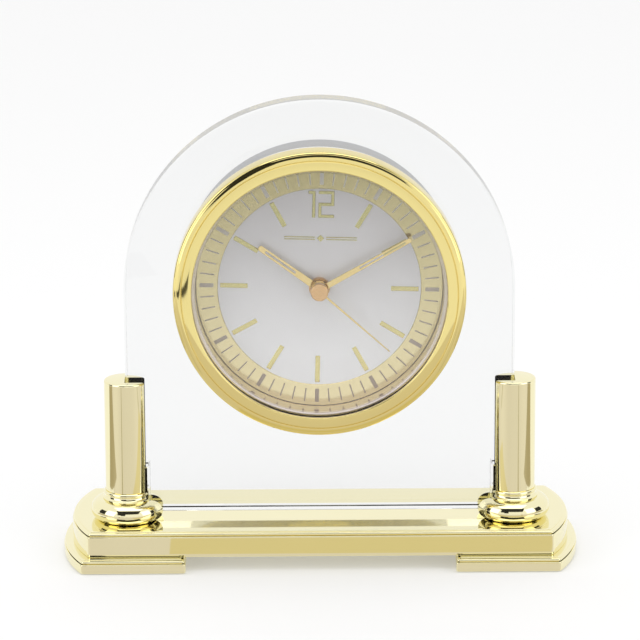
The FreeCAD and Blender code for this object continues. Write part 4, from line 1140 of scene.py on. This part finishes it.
@dataclass
class Hands:
    """Hour, minute and second hand with their collars, and the cap over them."""

    palette: Palette
    origin: np.ndarray
    edge: float = 0.07
    batons: tuple[Baton, ...] = (
        Baton("hour_hand", "hours", 306.0, 24.2, 2.3, -11.1, 0.4, (9.5, 21.5), 2.7, 1.86),
        Baton("minute_hand", "minutes", 60.5, 34.2, 1.9, -12.4, 0.4, (15.0, 32.0), 2.7, 1.11),
        Baton("second_hand", "seconds", 132.0, 30.5, 0.7, -13.9, 0.3, None, 2.6, 0.46, 0.5),
    )

    def blade(self, hand: Baton) -> np.ndarray:
        """Outline of a blade at twelve: from inside the collar, clear of its bore, to a rounded tip."""
        half, root = hand.width / 2, (hand.bore + hand.collar) / 2
        narrow = half * hand.tip_share
        tip = arc_through((narrow, hand.length - half), (0.0, hand.length), (-narrow, hand.length - half), 9)
        return route(line((half, root), tuple(tip[0]), 10), tip, line(tuple(tip[-1]), (-half, root), 10)[1:],
                     (-half, root))

    def slotted(self, hand: Baton) -> Shell:
        """Blade as two bodies of one outline: plates above and below the slot joined by its two rails.

        Args:
            hand: Which hand.

        Returns:
            The blade and its collar, at the hand's angle.
        """
        front, back = hand.front, hand.front + hand.thick
        outline = self.blade(hand)
        inner = inset_loop(outline, self.edge)
        shell = Shell()
        if hand.slot is None:
            shell.skin(self.stand(facing([outline, outline, inner], [back, front + self.edge, front]), hand),
                       low=True, high=True)
        else:
            low, high = hand.slot
            gap = hand.width * 0.15
            rim = self.edge * 0.6
            hole = self.hole_loop(outline, gap, low, high)
            wide = self.hole_loop(outline, gap + rim, low - rim, high + rim)
            stack = facing([hole, wide, inner, outline, outline, hole],
                           [front + rim, front, front, front + self.edge, back, back])
            shell.skin(self.stand(stack, hand), ring=True)
        return self.collar(shell, hand)

    def hole_loop(self, outline: np.ndarray, gap: float, low: float, high: float) -> np.ndarray:
        """Slot's outline with one point for each point of the blade's outline, by clamping into the slot."""
        return np.stack([np.clip(outline[:, 0], -gap, gap), np.clip(outline[:, 1], low, high)], axis=-1)

    def stand(self, stack: np.ndarray, hand: Baton) -> np.ndarray:
        """Move loops to the clock's axis and turn them to the hand's angle."""
        return clockwise(stack + self.origin, hand.angle, self.origin)

    def collar(self, shell: Shell, hand: Baton) -> Shell:
        """Add the pressed collar: a bored disc with softened edges that reaches back to the next hand."""
        box = Box.of(hand.node)
        front, back, r, e, bore = hand.front, box.high[1], hand.collar, self.edge, hand.bore
        profile = route((bore, front), (r - e, front), (r, front + e), (r, back - e), (r - e, back),
                        (bore, back))
        return shell.skin(lathe(profile, self.origin, turns=64), ring=True)

    def build(self) -> None:
        """Make the three hands and the cap."""
        gold = self.palette["marker_gold"]
        for hand in self.batons:
            self.slotted(hand).piece(f"{hand.node}_baton", hand.body, "marker_gold", gold, (hand.node,))
        front, back, r = Box.of("hub_cap").span
        profile = route((0.0, front), (0.9, front), (1.6, front + 0.02),
                        arc((r - 0.45, front + 0.5), 0.45, -90, 0, 7), (r, back - 0.1), (r - 0.1, back),
                        (0.46, back), (0.46, back - 0.7), (0.0, back - 0.7))
        Shell().skin(lathe(profile, self.origin, turns=72)).piece(
            "hub_button", "seconds", "rose_gold", self.palette["rose_gold"], ("hub_cap",))


# ---- back of the clock -----------------------------------------------------------------------------


@dataclass
class Back:
    """Spun can, setting knob, cell, and the raised detail on the movement's case."""

    palette: Palette
    origin: np.ndarray
    wall: float = 0.7
    window: Place = (28.5, -27.5, 17.5)
    corner: float = 2.5
    rounding: float = 1.2
    flutes: int = 20
    flute_depth: float = 0.42
    knob_bore: float = 0.57
    columns: int = 240

    def window_loop(self, angle: np.ndarray) -> np.ndarray:
        """Where rays from the axis meet the window, a rectangle whose corners are arcs.

        The arcs are found as a corner circle's far crossing with the ray.

        Args:
            angle: Ray directions from +X towards +Z, in radians.

        Returns:
            Loop of (x, z) points from the axis.
        """
        half, low, high = self.window
        cos, sin = np.cos(angle), np.sin(angle)
        across = half / np.maximum(np.abs(cos), 1e-9)
        along = np.where(sin > 0, high, -low) / np.maximum(np.abs(sin), 1e-9)
        reach = np.minimum(across, along)
        x, z = reach * cos, reach * sin
        middle_x = np.sign(cos) * (half - self.corner)
        middle_z = np.where(sin > 0, high - self.corner, low + self.corner)
        past = np.where(sin > 0, z > high - self.corner, z < low + self.corner)
        past &= np.abs(x) > half - self.corner
        dot = middle_x * cos + middle_z * sin
        under = np.maximum(self.corner ** 2 - middle_x ** 2 - middle_z ** 2 + dot ** 2, 0.0)
        reach = np.where(past, dot + np.sqrt(under), reach)
        return np.stack([reach * cos, reach * sin], axis=-1)

    def can(self) -> None:
        """Spun can: wall, rounded back edge, a shallow pressed ring, and the window in its back."""
        front, back, r = Box.of("rear_can").span
        t, e = self.wall, self.rounding
        half, low, high = self.window
        corners = [math.atan2(z, x) for z in (low + self.corner, high - self.corner) for x in (half, -half)]
        corners += [math.atan2(z, x) for z in (low, high) for x in (half - self.corner, self.corner - half)]
        even = np.linspace(0, TURN, self.columns, endpoint=False)
        angle = np.sort(np.mod(np.concatenate([even, corners]), TURN))
        window = self.window_loop(angle)
        around = np.stack([np.cos(angle), np.sin(angle)], axis=-1)
        outside = route((r - t, front + 0.1), (r - t / 2, front), (r, front + 0.1), (r, (front + back) / 2),
                        arc((r - e, back - e), e, 0, 90, 7), (r - 2.4, back))
        groove = route((r - 3.0, back), (r - 3.3, back - 0.25), (r - 3.8, back - 0.25), (r - 4.1, back))
        loops = [radius * around for radius, _ in np.vstack([outside, groove])]
        depths = [y for _, y in np.vstack([outside, groove])]
        loops += [window * 1.004, window, window]
        depths += [back, back - 0.12, back - t]
        inner = e - t * 0.6
        inside = route((r - 4.6, back - t), arc((r - t - inner, back - t - inner), inner, 90, 0, 5))
        loops += [radius * around for radius, _ in inside]
        depths += [y for _, y in inside]
        stack = facing([loop + [self.origin[0], self.origin[2]] for loop in loops], depths)
        Shell().skin(stack, ring=True).piece(
            "spun_can", "stand", "can_grey", self.palette["can_grey"], ("rear_can",), sharp=28.0)

    def knob(self) -> None:
        """Setting knob: a lathe whose radius dips in twenty flutes, with a sunk face."""
        box = Box.of("setting_knob")
        centre = np.array([box.centre[0], 0.0, box.centre[2]])
        front, back, r = box.span
        bore = self.knob_bore
        profile = route((bore, front), (r - 0.3, front), (r, front + 0.3), (r, back - 0.4), (r - 0.35, back),
                        (r - 1.2, back), (r - 1.5, back - 0.35), (1.4, back - 0.35), (1.2, back - 0.1),
                        (0.0, back - 0.1))
        angle = np.linspace(0, TURN, self.columns, endpoint=False)
        flute = self.flute_depth * np.maximum(np.cos(self.flutes * angle), 0.0) ** 2
        depth = np.clip((profile[:, 0:1] - (r - 0.6)) / 0.6, 0.0, 1.0)
        radius = profile[:, 0:1] - flute * depth
        height = profile[:, 1:2] + 0 * angle
        stack = np.stack([radius * np.cos(angle), height, radius * np.sin(angle)], axis=-1)
        close = np.stack([bore * np.cos(angle), 0 * angle + back - 0.62, bore * np.sin(angle)], axis=-1)
        shell = Shell().skin(np.concatenate([close[None], stack]) + centre, low=True)
        shell.piece("knob_fluted", "motion_work", "white_plastic", self.palette["white_plastic"],
                    ("setting_knob",))

    def cell(self) -> None:
        """Dry cell: shrunk wrap, a crimped shoulder, the positive nub and a dished negative end."""
        box = Box.of("battery")
        centre = np.array([0.0, box.centre[1], box.centre[2]])
        low, high, r = box.low[0], box.high[0], box.half[1]
        shoulder = high - 1.0
        profile = route((0.0, low + 0.25), (4.2, low + 0.25), (4.6, low), (r - 0.5, low),
                        arc((r - 0.5, low + 0.5), 0.5, -90, 0, 5), (r, low + 1.6), (r - 0.12, low + 1.75),
                        (r - 0.12, shoulder - 1.6), (r, shoulder - 1.45),
                        arc((r - 0.5, shoulder - 0.5), 0.5, 0, 90, 5), (4.2, shoulder),
                        (4.0, shoulder - 0.15), (2.9, shoulder - 0.1), (2.75, shoulder),
                        (2.75, high - 0.3), (2.45, high), (0.0, high))
        Shell().skin(lathe(profile, centre, Axis.ACROSS, 96)).piece(
            "dry_cell", "battery_cell", "cell_wrap", self.palette["cell_wrap"], ("battery",))

    def case_ribs(self) -> None:
        """Raised ribs and a turning arrow on the movement's back, moulded in the same plastic."""
        back = Box.of("movement_back_case").high[1]
        knob = Box.of("setting_knob")
        shell = Shell()
        for z in (20.0, 21.6, 23.2):
            shell.skin(self.rib(-22.0, -8.0, z, back), low=True, high=True)
        angle = np.linspace(math.radians(200), math.radians(320), 24)
        middle = np.array([knob.centre[0], knob.centre[2]])
        path = np.stack([np.cos(angle), np.sin(angle)], axis=-1)
        inner, outer = middle + 6.4 * path, middle + 7.0 * path
        band = np.vstack([outer, inner[::-1]])
        shell.skin(facing([band, band], [back, back + 0.25]), low=True, high=True)
        tip = middle + 6.7 * path[-1] + 1.8 * np.array([-path[-1][1], path[-1][0]])
        arrow = np.array([middle + 5.6 * path[-1], tip, middle + 7.8 * path[-1]])
        shell.skin(facing([arrow, arrow], [back, back + 0.25]), low=True, high=True)
        shell.piece("case_relief", "stand", "black_plastic", self.palette["black_plastic"])

    def rib(self, x0: float, x1: float, z: float, back: float) -> np.ndarray:
        """One low rib with bevelled edges, at a height above the axis."""
        loop = np.array([(x0, z), (x1, z), (x1, z + 0.7), (x0, z + 0.7)]) + [self.origin[0], self.origin[2]]
        return facing([loop, loop, inset_loop(loop, 0.12)], [back, back + 0.18, back + 0.3])

    def build(self) -> None:
        """Make every piece of the back."""
        self.can()
        self.knob()
        self.cell()
        self.case_ribs()


# ---- nodes that keep their own mesh ----------------------------------------------------------------


@dataclass
class CarriedNodes:
    """Frame nodes whose shape is right already, and which only need their finish."""

    palette: Palette
    record: dict
    # the ticks' and the ornament's special finishes carry painted light and shade
    special: dict[str, str] = field(default_factory=lambda: {"minute_ticks": "tick_print",
                                                             "dial_ornament": "marker_pale"})

    def build(self) -> None:
        """Give every node the finish of its slot, or its own special finish."""
        for row in self.record["subparts"]:
            thing = frame["nodes"][row["node"]]
            finish = self.palette[self.special.get(row["node"], row["material_slot"])]
            thing.data.materials.clear()
            thing.data.materials.append(finish)
            faces = thing.data.polygons
            faces.foreach_set("material_index", np.zeros(len(faces), dtype=np.int32))
            if not thing.hide_render:
                LOG.info("%s keeps its mesh, in %s", thing.name, finish.name)


# ---- studio ----------------------------------------------------------------------------------------


@dataclass(frozen=True)
class Lamp:
    """A soft rectangular lamp, aimed at a point; lengths in millimetres."""

    name: str
    place: Place
    aim: Place
    size: Point
    power: float


@dataclass(frozen=True)
class Flag:
    """A card that only shows in reflections, given by its corners; lengths in millimetres."""

    name: str
    corners: tuple[Place, ...]
    light: Colour = (0.002, 0.002, 0.002)

    @classmethod
    def facing(cls, name: str, place: Place, size: Point) -> "Flag":
        """A black card square to the line from its place to the clock's dial.

        Args:
            name: Its name.
            place: Its middle.
            size: Its width and height.

        Returns:
            The card.
        """
        middle = Vector(place)
        turn = (middle - Vector(DIAL_MIDDLE)).to_track_quat("Z", "Y").to_matrix()
        across, up = turn.col[0] * size[0] / 2, turn.col[1] * size[1] / 2
        corners = (middle - across - up, middle + across - up, middle + across + up, middle - across + up)
        return cls(name, tuple(tuple(corner) for corner in corners))

    @classmethod
    def lying(cls, name: str, low: Point, high: Point, height: float,
              light: Colour) -> "Flag":
        """A card with its own even light, lying at a height over the floor between two plan corners."""
        plan = (low, (high[0], low[1]), high, (low[0], high[1]))
        return cls(name, tuple((*corner, height) for corner in plan), light)


@dataclass
class Studio:
    """White floor, soft lamps, dark flags for the reflections, and the camera."""

    target: Place = (0.0, 0.0, 75.0)
    azimuth: float = -0.327
    elevation: float = 16.372
    distance: float = 1400.0
    focal: float = 240.3
    up: float = 3.15
    right: float = 0.2
    roll: float = -0.27
    world: float = 1.0
    floor_reach: float = 4000.0
    floor_colour: Colour = (0.6, 0.6, 0.6)
    floor_light: Colour = (0.28, 0.28, 0.28)
    flags: tuple[Flag, ...] = (
        Flag.facing("high_flag", (0.0, -900.0, 900.0), (1500.0, 900.0)),
        Flag.facing("corner_flag", (-430.0, -760.0, 430.0), (200.0, 420.0)),
        Flag.facing("band_flag", (-290.0, -900.0, 300.0), (230.0, 300.0)),
        Flag.facing("left_flag", (-700.0, -60.0, 150.0), (260.0, 420.0)),
        Flag.facing("right_flag", (700.0, -60.0, 150.0), (260.0, 420.0)),
        Flag.lying("front_card", (-420.0, -250.0), (420.0, -27.8), 0.1, (0.72, 0.68, 0.66)),
        Flag.lying("gold_card", (-50.0, -75.0), (95.0, -40.0), 0.2, (0.68, 0.60, 0.36)),
        Flag.lying("left_strip", (-270.0, -60.0), (-140.0, 10.0), 0.3, (0.40, 0.34, 0.22)),
        Flag.lying("right_strip", (140.0, -60.0), (270.0, 10.0), 0.3, (0.40, 0.34, 0.22)),
        Flag("side_patch", ((-72.0, -392.0, 0.3), (-64.0, -356.0, 0.3), (-264.0, -262.0, 0.3),
                            (-298.0, -290.0, 0.3))),
        Flag("left_line", ((-98.0, -72.0, 0.3), (-91.0, -74.0, 0.3), (-142.0, -196.0, 0.3),
                           (-151.0, -192.0, 0.3)), (0.45, 0.40, 0.28)),
        Flag("right_line", ((98.0, -72.0, 0.3), (91.0, -74.0, 0.3), (142.0, -196.0, 0.3),
                            (151.0, -192.0, 0.3)), (0.45, 0.40, 0.28)),
    )
    lamps: tuple[Lamp, ...] = (
        Lamp("top_softbox", (0.0, -150.0, 900.0), (0.0, 0.0, 60.0), (900.0, 700.0), 1.8),
        Lamp("left_softbox", (-800.0, -500.0, 350.0), (0.0, 0.0, 70.0), (500.0, 700.0), 1.2),
        Lamp("right_softbox", (800.0, -500.0, 350.0), (0.0, 0.0, 70.0), (500.0, 700.0), 1.0),
    )

    def camera(self) -> None:
        """Camera on a sphere round the target, then lifted, moved and rolled in its own directions."""
        az, el = math.radians(self.azimuth), math.radians(self.elevation)
        away = Vector((math.sin(az) * math.cos(el), -math.cos(az) * math.cos(el), math.sin(el)))
        data = bpy.data.cameras.new("viewpoint")
        data.lens = self.focal
        data.sensor_width = 36.0
        data.clip_end = 20.0
        thing = stood("viewpoint", data)
        place = Vector(self.target) + away * self.distance
        turn = away.to_track_quat("Z", "Y").to_matrix()
        aim = Vector(self.target) + turn @ Vector((self.right, self.up, 0.0))
        turn = (place - aim).to_track_quat("Z", "Y").to_matrix()
        turn = turn @ Matrix.Rotation(math.radians(self.roll), 3, "Z")
        thing.matrix_world = Matrix.Translation(place * MM) @ turn.to_4x4()
        bpy.context.scene.camera = thing

    def sheet(self, name: str, loop: tuple[Place, ...], surface: Colour,
              light: Colour) -> bpy.types.Object:
        """A flat stage panel.

        Args:
            name: Its name.
            loop: Its corners in millimetres.
            surface: Colour of its surface.
            light: Its own light.

        Returns:
            The new object.
        """
        mesh = bpy.data.meshes.new(name)
        corners = [tuple(value * MM for value in point) for point in loop]
        mesh.from_pydata(corners, [], [list(range(len(loop)))])
        thing = stood(name, mesh)
        finish = bpy.data.materials.new(name)
        finish.use_nodes = True
        shader = finish.node_tree.nodes["Principled BSDF"]
        shader.inputs["Base Color"].default_value = (*surface, 1.0)
        shader.inputs["Roughness"].default_value = 0.6
        shader.inputs["Emission Color"].default_value = (*light, 1.0)
        shader.inputs["Emission Strength"].default_value = 1.0
        mesh.materials.append(finish)
        return thing

    def build(self) -> None:
        """Set up floor, lamps, world and camera."""
        far = self.floor_reach
        floor = ((-far, -far, 0.0), (far, -far, 0.0), (far, far, 0.0), (-far, far, 0.0))
        self.sheet("floor", floor, self.floor_colour, self.floor_light)
        for flag in self.flags:
            card = self.sheet(flag.name, flag.corners, (0.0, 0.0, 0.0), flag.light)
            card.visible_camera = card.visible_diffuse = False
            card.visible_transmission = card.visible_shadow = False
        for lamp in self.lamps:
            data = bpy.data.lights.new(lamp.name, "AREA")
            data.shape = "RECTANGLE"
            data.size, data.size_y = (value * MM for value in lamp.size)
            data.energy = lamp.power
            place, aim = Vector(lamp.place) * MM, Vector(lamp.aim) * MM
            turn = (place - aim).to_track_quat("Z", "Y").to_matrix()
            stood(lamp.name, data).matrix_world = Matrix.Translation(place) @ turn.to_4x4()
        world = bpy.data.worlds.new("studio")
        bpy.context.scene.world = world
        world.use_nodes = True
        light = world.node_tree.nodes["Background"].inputs
        light["Color"].default_value = (1.0, 1.0, 1.0, 1.0)
        light["Strength"].default_value = self.world
        bpy.context.scene.view_settings.view_transform = "Standard"
        self.camera()


def main() -> None:
    """Build the clock, its finishes and the studio, in order."""
    logging.basicConfig(level=logging.INFO, format="%(name)s: %(message)s")
    bezel = Box.of("bezel")
    origin = np.array([bezel.centre[0], 0.0, bezel.centre[2]])
    palette = Palette(GroupShelf(origin * MM))
    Stand(palette).build()
    GlassPanel(palette).build()
    Insert(palette).build()
    Hands(palette, origin).build()
    Back(palette, origin).build()
    CarriedNodes(palette, frame["record"]).build()
    Studio().build()


if __name__ == "__main__":
    main()
